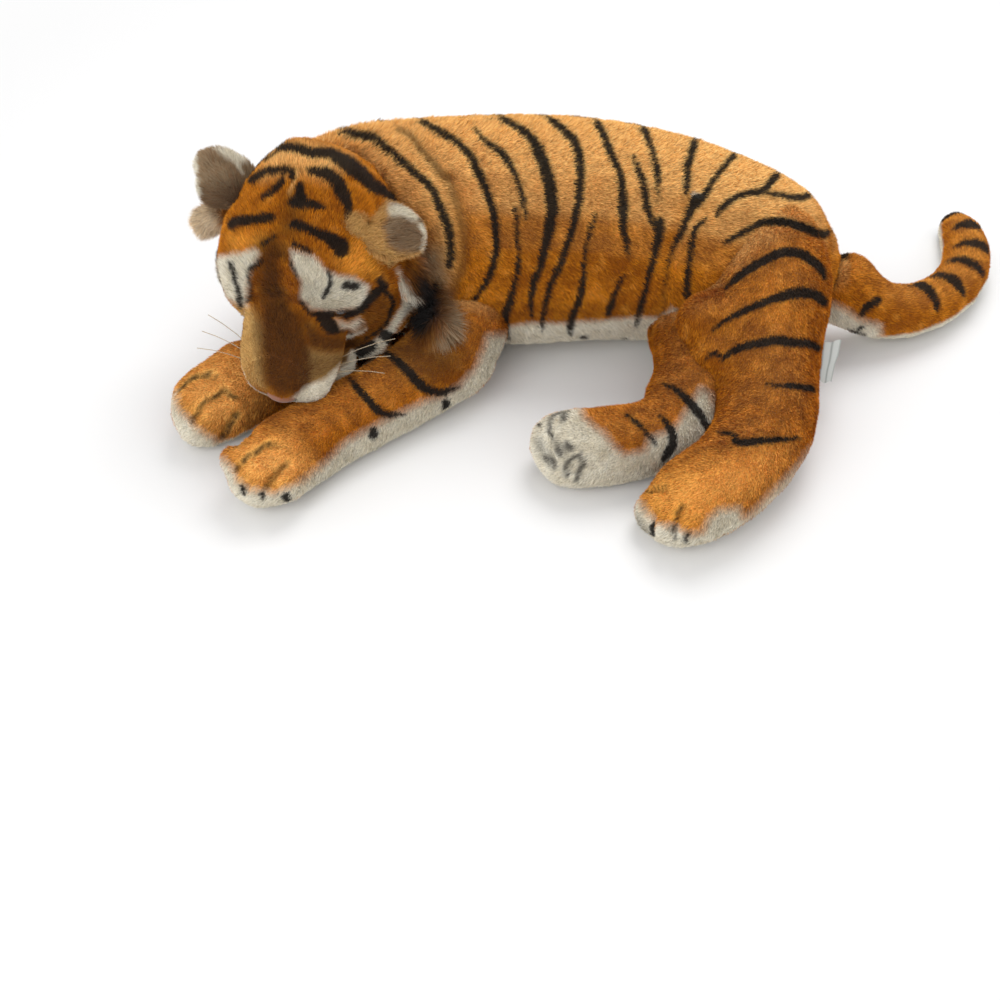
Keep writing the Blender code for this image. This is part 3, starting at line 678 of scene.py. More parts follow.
def paint(layer, lines, targets, edge=0.002, amount=1.0):
    """Drops each line onto the nearest of the target hides, and paints it on all of them."""
    drawn = []
    for route in lines:
        points, widths = cast(route, targets)
        if len(points) > 1:
            drawn.append((points, widths))
            for hide in targets:
                hide.stroke(layer, points, widths, edge, amount)
    return drawn


def at_pixel(place, y):
    """The place in the room on a line of sight, at a given distance along Y."""
    way = Vector(photo_directions([place])[0])
    return CAMERA_PLACE + way * ((y - CAMERA_PLACE.y) / way.y)


# Markings, painted shade and highlights: routes and patches in the photograph's pixels

def places(text):
    return [tuple(float(part) for part in place.split(",")) for place in text.split()]


def line(text, widths):
    """A route from given places, with widths spread evenly along it, all in pixels."""
    points = np.array(places(text))
    widths = np.array([float(width) for width in widths.split()])
    along = np.linspace(0, len(widths) - 1, len(points))
    spread = np.interp(along, np.arange(len(widths)), widths)
    return smooth_route(np.column_stack([points, spread]), 1.5)


def routes(text):
    """Routes parted by slashes, each its places and, after a bar, its widths."""
    made = []
    for route in text.split("/"):
        points, _, widths = route.partition("|")
        made.append(line(points, widths or "1"))
    return made


def patches(text):
    """Patches parted by slashes, each a layer, a softness and an amount, a bar and its corners."""
    made = []
    for patch in text.split("/"):
        kind, _, corners = patch.partition("|")
        layer, softness, amount = kind.split()
        made.append((layer, float(softness), float(amount), places(corners)))
    return made


TORSO_STRIPES = routes("""
    411,121 421,124 432,130 446,137 459,145 469,157 478,175 486,196 492,218 494,240 492,261
        486,279 476,294 464,310 449,328 | 6 7 8 9 9 8 6 3 /
    472,129 480,138 491,146 502,155 510,167 516,180 521,199 524,218 | 3 5 7 8 7 6 6 4 /
    483,117 496,118 508,124 523,133 534,146 542,164 547,183 550,204 548,224 543,247 539,264
        532,282 529,301 530,318 | 7 6 7 9 11 13 13 13 12 10 8 8 7 3 /
    532,116 543,118 555,125 567,136 575,148 578,164 578,183 576,204 572,224 566,243 558,264
        550,282 544,301 541,318 540,330 | 4 6 8 9 9 9 9 8 8 8 8 7 7 6 3 /
    569,114 582,115 593,122 601,135 609,154 617,172 621,191 621,208 622,228 625,243 627,259
        | 4 5 7 8 8 8 9 10 8 7 3 /
    513,208 515,228 516,247 516,266 512,287 506,306 503,318 505,333 507,338 | 5 5 4 6 6 9 9 6 2 /
    594,212 588,231 584,251 582,272 579,294 572,312 568,325 569,334 | 4 5 5 6 8 8 8 3 /
    622,275 614,291 608,307 605,315 | 4 6 8 5 /
    580,336 584,336 | 5 5 /
    620,336 624,336 | 5 5 /
    623,119 632,121 641,130 647,143 652,157 655,172 656,186 657,202 | 4 5 8 7 6 8 5 3 /
    631,156 636,169 641,180 644,196 647,212 652,226 | 4 6 7 8 7 6 /
    658,220 657,235 653,253 648,272 643,291 638,310 634,325 | 9 10 8 7 7 7 4 /
    693,139 690,149 686,164 685,178 684,192 | 9 8 8 7 6 /
    734,153 726,161 717,172 709,183 704,192 693,202 | 8 6 6 6 7 12 /
    694,199 686,213 679,231 674,242 668,259 664,280 662,298 661,315 | 14 9 8 6 4 3 3 2 /
    703,218 694,229 690,243 688,259 686,275 685,291 688,307 | 4 6 7 6 7 8 4""")
NECK_STRIPES = routes("""
    337,133 351,138 371,141 390,154 410,170 426,184 434,197 441,213 447,230 449,248 447,265
        | 9 8 8 8 9 8 /
    453,315 465,306 | 5 5""")
# A faint shadow line between the scruff and the torso, pressed in and painted as shade.
NECK_FAINT_SHADE = routes("396,131 408,138 418,149 429,161 438,172 446,178 | 5 7 8")
NECK_SHADE = routes("446,180 456,208 461,235 461,259 452,290 | 6 8 8 6")
FLANK_FOLDS = routes("""
    690,196 679,228 670,250 664,285 662,318 /
    470,150 486,200 490,250""")
BELLY_PALE = places("""
    440,352 488,339 499,328 528,323 559,323 604,320 634,317 659,318 669,307 720,330 720,420
    440,420""")
TORSO_PATCHES = patches("""
    gold 18 0.8 | 300,128 345,118 400,124 440,158 454,215 448,268 424,215 395,178 340,152 /
    taupe 9 0.75 | 404,240 440,248 449,280 446,318 420,336 400,300""")
TORSO_SLIDES = [((525, 334), 0.060, (0, -0.007, -0.004)), ((650, 332), 0.050, (0, 0.008, 0.004))]
RUMP_DRAWN_IN = 0.009
BACK_LINE = -0.003
BACK_COMB = (0.9, 0.0, -0.45)

HEAD_STRIPES = routes("""
    256,152 278,150 299,151 308,154 328,156 344,164 358,175 374,189 390,199 405,209
        | 5 7 8 9 11 14 15 12 8 4 /
    251,184 262,176 278,173 290,173 292,179 | 7 7 /
    281,184 271,195 262,200 | 7 6 4 /
    310,173 322,174 335,182 342,195 347,207 347,220 | 7 9 12 12 9 6 /
    300,187 299,203 | 7 11 /
    294,205 310,206 325,211 | 11 9 3 /
    234,227 240,224 253,222 271,220 | 11 10 8 /
    294,226 310,232 326,239 338,247 341,252 | 9 9 11 15 14 /
    262,247 274,238 | 5 4 /
    251,272 262,263 | 5 4 /
    294,247 310,254 | 5 4 /
    290,265 297,279 | 3 3 /
    231,266 237,282 244,306 | 5 5 /
    328,274 330,284 323,299 | 4 4 /
    345,288 355,288 | 7 7 /
    300,304 310,315 328,316 355,313 372,297 383,288 | 3 4 8 7 8 7 /
    322,320 334,327 352,326 | 11 15 12 /
    249,278 252,292 250,304 | 3 3 /
    378,282 383,293 391,304 387,318 378,331 364,340 | 6 5 5 3 /
    383,336 393,342 | 10 10 /
    357,353 370,347 | 9 9 /
    293,401 296,406 | 5 4""")
HEAD_WHITE_LINES = routes("""
    397,272 406,288 406,302 399,316 390,329 374,349 356,359 | 7 10 10 8 8 12 14""")
EYE_TUFT = places("334,320 346,324 358,318 362,324 354,333 340,331")
BRIDGE_ORANGE = places("279,262 288,262 300,282 302,312 290,310 280,284")
HEAD_PATCHES = patches("""
    white 5 1 | 206,262 230,257 243,254 256,252 259,256 256,265 251,272 249,288 247,309 239,306
        224,300 206,280 /
    white 5 1 | 290,252 299,254 314,259 326,272 337,277 355,281 367,288 367,302 356,311 328,313
        310,311 299,300 301,284 292,270 /
    white 5 1 | 290,404 306,388 326,379 344,364 360,354 378,350 380,380 340,420 286,425 /
    white 4 0.75 | 334,320 346,324 358,318 362,324 354,333 340,331 /
    yellow 6 1 | 238,306 252,310 262,330 262,388 240,388 232,340 /
    yellow 6 1 | 306,350 336,354 362,352 336,378 310,394 302,374 /
    brown 9 0.97 | 258,300 292,296 306,330 318,368 312,396 277,398 262,384 257,340 /
    brown 9 0.90 | 296,312 322,330 352,338 384,333 384,350 356,352 330,358 306,352 /
    brown 9 0.68 | 304,350 330,352 356,350 386,350 360,358 336,376 308,392 302,370 /
    brown 9 0.62 | 366,290 390,296 397,312 388,334 364,344 352,330 360,312 /
    brown 9 0.85 | 258,246 276,236 294,262 296,306 260,306 258,280 /
    brown 9 0.6 | 288,196 304,200 296,240 276,240 /
    amber 9 0.95 | 336,262 356,246 372,256 374,276 350,274 /
    amber 9 0.95 | 230,240 262,238 258,252 232,254 /
    dark 7 1 | 402,262 418,262 436,282 440,312 430,330 402,338 404,318 410,300 408,280 /
    taupe 7 1 | 412,250 470,250 470,360 410,352 430,336 442,318 438,282 420,264 /
    gold 12 0.7 | 262,150 300,142 350,160 330,180 290,172 262,178""")
MUZZLE_CREASES = routes("""
    300,312 306,340 312,372 /
    256,300 258,340 264,380""")
HEAD_SWELLINGS = [((298, 168), 0.050, 0.012), ((300, 149), 0.026, 0.008),
                  ((360, 190), 0.035, 0.004), ((325, 285), 0.018, 0.003),
                  ((281, 388), 0.018, 0.007), ((314, 394), 0.018, 0.006)]
RUFF_ROOTS = ((416, 286), (426, 300), (433, 316), (437, 328))
RUFF_PLACES = ((412, 272), (420, 284), (430, 300), (436, 318), (438, 330), (428, 336))
TUFT_PLACES = ((203, 215), (206, 222), (210, 230))
RUFF_COMB = (0.3, -0.7, -0.66)
TUFT_COMB = (-0.7, -0.1, -0.7)
HEAD_STRIPE_WIDENING = 1.15


# Pile

def pile_tree():
    """Geometry Nodes that stand short fibres on a hide, combed along its own attributes."""
    tree = bpy.data.node_groups.new("pile", 'GeometryNodeTree')
    sockets = {}
    for name, kind, default in (
            ("Hide", 'Geometry', None), ("Fibres per square metre", 'Float', FIBRES),
            ("Fibre Width", 'Float', FIBRE_WIDTH), ("Lift", 'Float', 0.85),
            ("Tuft Size", 'Float', 0.012), ("Tuft Strength", 'Float', 0.9),
            ("Seed", 'Int', 0), ("Finish", 'Material', None)):
        made = tree.interface.new_socket(name, in_out='INPUT', socket_type=f"NodeSocket{kind}")
        if default is not None:
            made.default_value = default
        sockets[name] = made.identifier
    tree.interface.new_socket("Pile", in_out='OUTPUT', socket_type='NodeSocketGeometry')
    graph = Graph(tree)
    start = graph.node("NodeGroupInput")

    def stored(name, kind='FLOAT'):
        return graph.node("GeometryNodeInputNamedAttribute", {"data_type": kind}, {"Name": name})

    def store(geometry, name, value, domain):
        return graph.node("GeometryNodeStoreNamedAttribute",
                          {"data_type": 'FLOAT', "domain": domain},
                          {"Geometry": geometry, "Name": name, "Value": value})

    def random(low, high, seed):
        made = graph.node("FunctionNodeRandomValue", {"data_type": 'FLOAT'},
                          {2: low, 3: high, "Seed": seed})
        return Sock(graph, made.node, made.node.outputs[1])

    def random_vector(most, seed):
        return graph.node("FunctionNodeRandomValue", {"data_type": 'FLOAT_VECTOR'},
                          {0: (-most,) * 3, 1: (most,) * 3, "Seed": seed})

    def scaled(vector, size):
        made = graph.vector("SCALE", vector)
        graph.link(size, made.node.inputs["Scale"])
        return made

    spread = graph.node("GeometryNodeDistributePointsOnFaces", None, {
        "Mesh": start.out("Hide"),
        "Density": start.out("Fibres per square metre") * stored("pile_share"),
        "Seed": start.out("Seed")})
    normal = spread.out("Normal")
    place = graph.node("GeometryNodeInputPosition")
    clump = graph.node("ShaderNodeTexNoise", None, {
        "Vector": place, "Scale": 1 / start.out("Tuft Size"), "Detail": 1.5}, "Color")
    stray = random_vector(0.28, 5)
    tuft = scaled(graph.vector("SUBTRACT", clump, (0.5, 0.5, 0.5)), start.out("Tuft Strength"))
    lean = graph.vector("ADD", stored("comb", 'FLOAT_VECTOR'), scaled(normal, start.out("Lift")))
    lean = graph.vector("ADD", lean, graph.vector("ADD", tuft, stray))
    roll = random_vector(0.9, 9)
    turn = graph.node("FunctionNodeAxesToRotation", {"primary_axis": 'X', "secondary_axis": 'Z'},
                      {"Primary Axis": lean, "Secondary Axis": graph.vector("ADD", normal, roll)})
    fibre = graph.node("GeometryNodeMeshCircle", {"fill_type": 'NGON'},
                       {"Vertices": 3, "Radius": 1.0})
    fibre = graph.node("GeometryNodeTransform", None, {
        "Geometry": fibre, "Translation": (1 / 3, 0, 0), "Scale": (2 / 3, 1 / math.sqrt(3), 1)})
    fibre = store(fibre, "along", graph.node("ShaderNodeSeparateXYZ", None, {0: place}, "X"),
                  'POINT')
    clump_size = graph.node("ShaderNodeTexNoise", None, {
        "Vector": place, "Scale": 0.7 / start.out("Tuft Size"), "Detail": 1.0})
    length = stored("pile_length") * random(0.65, 1.1, 1) * (clump_size * 0.9 + 0.55)
    width = start.out("Fibre Width") * random(0.6, 1.4, 2)
    size = graph.node("ShaderNodeCombineXYZ", None, {"X": length, "Y": width, "Z": 1.0})
    grown = graph.node("GeometryNodeInstanceOnPoints", None, {
        "Points": spread, "Instance": fibre, "Rotation": turn, "Scale": size})
    grown = store(grown, "strand", random(0, 1, 3), 'INSTANCE')
    whole = graph.node("GeometryNodeRealizeInstances", None, {"Geometry": grown})
    dressed = graph.node("GeometryNodeSetMaterial", None,
                         {"Geometry": whole, "Material": start.out("Finish")})
    graph.link(dressed, graph.node("NodeGroupOutput").node.inputs["Pile"])
    return tree, sockets


PILE_TREE, PILE_INPUTS = pile_tree()


def grid_uvs(mesh):
    """Gives each fibre its own small cell of the square, in growing order."""
    faces = len(mesh.polygons)
    side = math.ceil(math.sqrt(faces))
    index = np.arange(faces)
    corner = np.stack([index % side, index // side], axis=1) / side
    shape = np.array([(0.1, 0.1), (0.9, 0.5), (0.1, 0.9)]) / side
    layer = mesh.uv_layers.new(name="OFBake")
    layer.data.foreach_set("uv", (corner[:, None] + shape[None]).astype(np.float32).ravel())


def grow(hide, skin, finish, fibres, width):
    """Grows a coat on a hide, in as many pieces as its count of fibres needs."""
    area = hide.grown_area()
    count = area * fibres
    pieces = math.ceil(count / MOST_FIBRES)
    coats = []
    for number in range(pieces):
        coat = add_object(f"{hide.name}_work", skin.data)
        modifier = coat.modifiers.new("pile", 'NODES')
        modifier.node_group = PILE_TREE
        for name, value in (("Fibres per square metre", count / pieces / area),
                            ("Fibre Width", width), ("Seed", FIRST_SEED + number),
                            ("Finish", finish)):
            modifier[PILE_INPUTS[name]] = value
        mesh = evaluated_mesh(coat)
        mesh.name = f"{hide.name}_pile_{number + 1}"
        ends = np.empty(len(mesh.vertices) * 3, np.float32)
        mesh.vertices.foreach_get("co", ends)
        ends[2::3] = np.maximum(ends[2::3], FLOOR_CLEARANCE)
        mesh.vertices.foreach_set("co", ends)
        grid_uvs(mesh)
        coats.append(add_object(mesh.name, mesh))
    return coats


# Finishes

def pile_finish():
    """The coat's print, orange and rust ground, pale and dark patches and black stripes, with
    painted shade and highlights.
    """
    shader = Shader("printed_pile_with_painted_light")
    slow = shader.noise(14.0)
    fine = shader.noise(60.0)
    edge = shader.noise(220.0)
    strand = shader.attribute("strand")
    along = shader.attribute("along")
    mottle = (slow - 0.27) * 1.7 + (fine - 0.5) * 2.2 + (strand - 0.5) * 0.6
    ground = shader.mix(mottle.clamped(), RUST, ORANGE)
    # Painted highlights: pale gold flecks from fine noise.
    ground = shader.mix(((fine - 0.55) * 2.4).clamped() * 0.22, ground, TINTS["gold"])
    uneven = (fine - 0.5) * 0.5 + (strand - 0.5) * 0.7 + 1
    for layer in ("amber", "gold", "yellow", "taupe", "brown"):
        share = (shader.attribute(layer) * uneven).clamped()
        ground = shader.mix(share, ground, TINTS[layer])
    pale = shader.mix((fine - 0.35).clamped() * 1.2, *CREAMS)
    ground = shader.mix((shader.attribute("white") * 1.5 - 0.25 + (edge - 0.5) * 0.5).clamped(),
                        ground, pale)
    ground = shader.mix(shader.attribute("dark"), ground, DARK)
    stripe = (shader.attribute("black") / 2.2 + (edge - 0.5) * 2.4 + (strand - 0.5) * 1.1
              + 0.38).clamped()
    ground = shader.mix(stripe * 0.97, ground, shader.mix(fine, *SOOTS))
    # Painted shade and highlight on each fibre: darker at its root and lighter at its tip, with a
    # random brightness of its own.
    light = along * 0.34 + 0.86 + (strand - 0.5) * 0.42
    grey = shader.node("ShaderNodeCombineXYZ", None, {0: light, 1: light, 2: light})
    return shader.principled(Base_Color=shader.mix(1.0, ground, grey, 'MULTIPLY'),
                             Roughness=fine * 0.2 + 0.65, Sheen_Weight=0.06,
                             Sheen_Roughness=0.5, Specular_IOR_Level=0.12)


def grained_finish(name, scale, tones, smoothest, roughening, bump=0, **more):
    """A finish whose tone and gloss vary with a fine grain."""
    shader = Shader(name)
    grain = shader.noise(scale)
    if bump:
        more["Normal"] = shader.bump(grain, bump, 0.0004)
    return shader.principled(Base_Color=shader.mix(grain, *tones),
                             Roughness=grain * roughening + smoothest, **more)


def eye_finish():
    """A clear moulded eye over a dark pupil and an amber iris, painted dark for the shade the eye
    sits in.
    """
    shader = Shader("moulded_eye")
    grain = shader.noise(900.0, 3.0)
    iris = shader.attribute("iris")
    tone = shader.mix(grain, *SHADE_DARKENED_IRIS_AMBERS)
    tone = shader.mix(((0.52 - iris) * 30).clamped(), tone, PUPIL)
    tone = shader.mix(((iris - 0.82) * 14).clamped(), tone, EYE_RIM)
    return shader.principled(Base_Color=tone, Roughness=grain * 0.04 + 0.04, Coat_Weight=1.0,
                             Coat_Roughness=0.02)


def label_finish():
    """Bare white woven cloth, painted darker for the shade it hangs in, with painted grey shade
    along long lines for its folds.
    """
    shader = Shader("woven_label")
    parts = shader.node("ShaderNodeSeparateXYZ", None, {0: shader.attribute("weave", "Vector")})

    def waves(axis, scale):
        return (parts.out(axis) * scale).maths("SINE") * 0.5 + 0.5

    warp = waves("X", 9.0e3)
    cloth = shader.mix(warp * 0.6 + waves("Y", 6.0e3) * 0.4, *SHADED_LABEL_WHITES)
    # Painted shade: grey along long lines across the cloth, for its folds.
    fold = waves("X", 640.0).maths("POWER", 5.0)
    return shader.principled(Base_Color=shader.mix(fold * 0.75, cloth, LABEL_FOLD_SHADE),
                             Roughness=warp * 0.1 + 0.7)


BODY_FINISH = pile_finish()
VELOUR_FINISH = grained_finish("nose_velour", 900.0, NOSE_PINKS, smoothest=0.6, roughening=0.2,
                               bump=0.4, Sheen_Weight=0.3)
WASHER_FINISH = grained_finish("washer_plastic", 300.0, WASHER_GREYS, smoothest=0.4,
                               roughening=0.1)
NYLON_FINISH = grained_finish("clear_nylon", 400.0, NYLON_TONES, smoothest=0.2, roughening=0.1,
                              Transmission_Weight=0.60)
EYE_FINISH = eye_finish()


# Combing

def tangent(vectors, normals):
    flat = vectors - normals * np.einsum('ij,ij->i', vectors, normals)[:, None]
    return flat / np.maximum(np.linalg.norm(flat, axis=1), 1e-6)[:, None]


def comb_along(hide, spine, sag=0.25):
    """Lays the pile along a spine from its root to its tip, sagging a little at the sides."""
    spine = np.array(spine, float)
    ways = np.gradient(spine, axis=0)
    ways /= np.linalg.norm(ways, axis=1)[:, None]
    gaps = np.linalg.norm(hide.co[:, None] - spine[None], axis=2)
    weights = 1 / (gaps + 0.01) ** 3
    ways = (weights[:, :, None] * ways[None]).sum(axis=1) / weights.sum(axis=1)[:, None]
    ways[:, 2] -= sag
    hide.comb = tangent(ways, hide.normal)


def up_facing_highlight(hide):
    """Painted highlight: pale gold on the coat where it faces up, as if lit from above."""
    return smoothstep(0.32, 1.14, hide.normal[:, 2])


def sparse_underneath(hide, steepness=UNDERSIDE, least=SPARSE):
    """Thins the coat where it lies on the floor."""
    hide.share = np.where(hide.normal[:, 2] < steepness, least, 1.0)


# Torso

def over_back(torso, points, widths):
    """Carries a flank stripe over the back and down the side that the camera doesn't see."""
    far = []
    for point in points:
        mirrored = Vector((point.x, 2 * BACK_LINE - point.y, point.z))
        near, normal, _, _ = torso.tree.find_nearest(mirrored)
        if (CAMERA_PLACE - near).normalized().dot(normal) < 0.04:
            far.append(near)
    if len(far) < 3:
        return
    start = min(points, key=lambda point: (point - far[0]).length)
    shift = start.x - far[0].x
    moved = [torso.tree.find_nearest(Vector((p.x + shift, p.y, p.z)))[0] for p in far]
    torso.stroke("black", moved, widths[:len(moved)])


def make_torso():
    torso = Hide("torso_hide", "torso",
                 ["back_cover_left", "back_cover_right", "belly_cover", "torso_stuffing",
                  "neck_fold"], depth=TORSO_DEPTH)
    torso.swell((345, 160), reach=0.05, height=0.006)
    rump = smoothstep(0.27, 0.31, torso.co[:, 0]) * smoothstep(0.2, 0.8, torso.normal[:, 0])
    torso.move(-torso.normal * (RUMP_DRAWN_IN * rump)[:, None])
    for place, reach, offset in TORSO_SLIDES:
        torso.slide(drop(place, [torso]), reach, offset)
    torso.crease(NECK_SHADE, depth=0.004, reach=0.009)
    torso.crease(NECK_FAINT_SHADE, depth=0.0025, reach=0.008)
    torso.crease(FLANK_FOLDS, depth=0.0035, reach=0.007)
    for points, widths in paint("black", TORSO_STRIPES + NECK_STRIPES, [torso]):
        over_back(torso, points, widths)
    # Painted shade: brown along the faint neck shadow, the neck's shade seam and the first flank
    # fold.
    paint("brown", NECK_FAINT_SHADE, [torso], amount=0.6)
    paint("brown", NECK_SHADE, [torso], edge=0.004, amount=0.5)
    paint("brown", FLANK_FOLDS[:1], [torso], edge=0.005, amount=0.5)
    paint("white", routes("691,194 698,196 | 5 5 / 664,318 667,328 | 7 9"), [torso])
    torso.patch("white", 5, 1, BELLY_PALE)
    height = torso.co[:, 2]
    torso.add("white", smoothstep(0.052, 0.030, height))
    # Painted shade: brown on the low, side-facing flank.
    side = smoothstep(0.125, 0.07, height) * smoothstep(0.7, 0.3, torso.normal[:, 2])
    torso.add("brown", side * 0.28)
    # Painted highlight: gold where the coat faces up.
    torso.add("gold", up_facing_highlight(torso))
    for patch in TORSO_PATCHES:
        torso.patch(*patch)
    torso.comb = tangent(np.array([BACK_COMB] * len(torso.co)), torso.normal)
    torso.length[:] = TORSO_PILE
    torso.length += smoothstep(-0.13, -0.24, torso.co[:, 0]) * SCRUFF_PILE
    sparse_underneath(torso)
    return torso


# Limbs and tail: spines run from each joint to the paw or tip, and the pile is combed along them

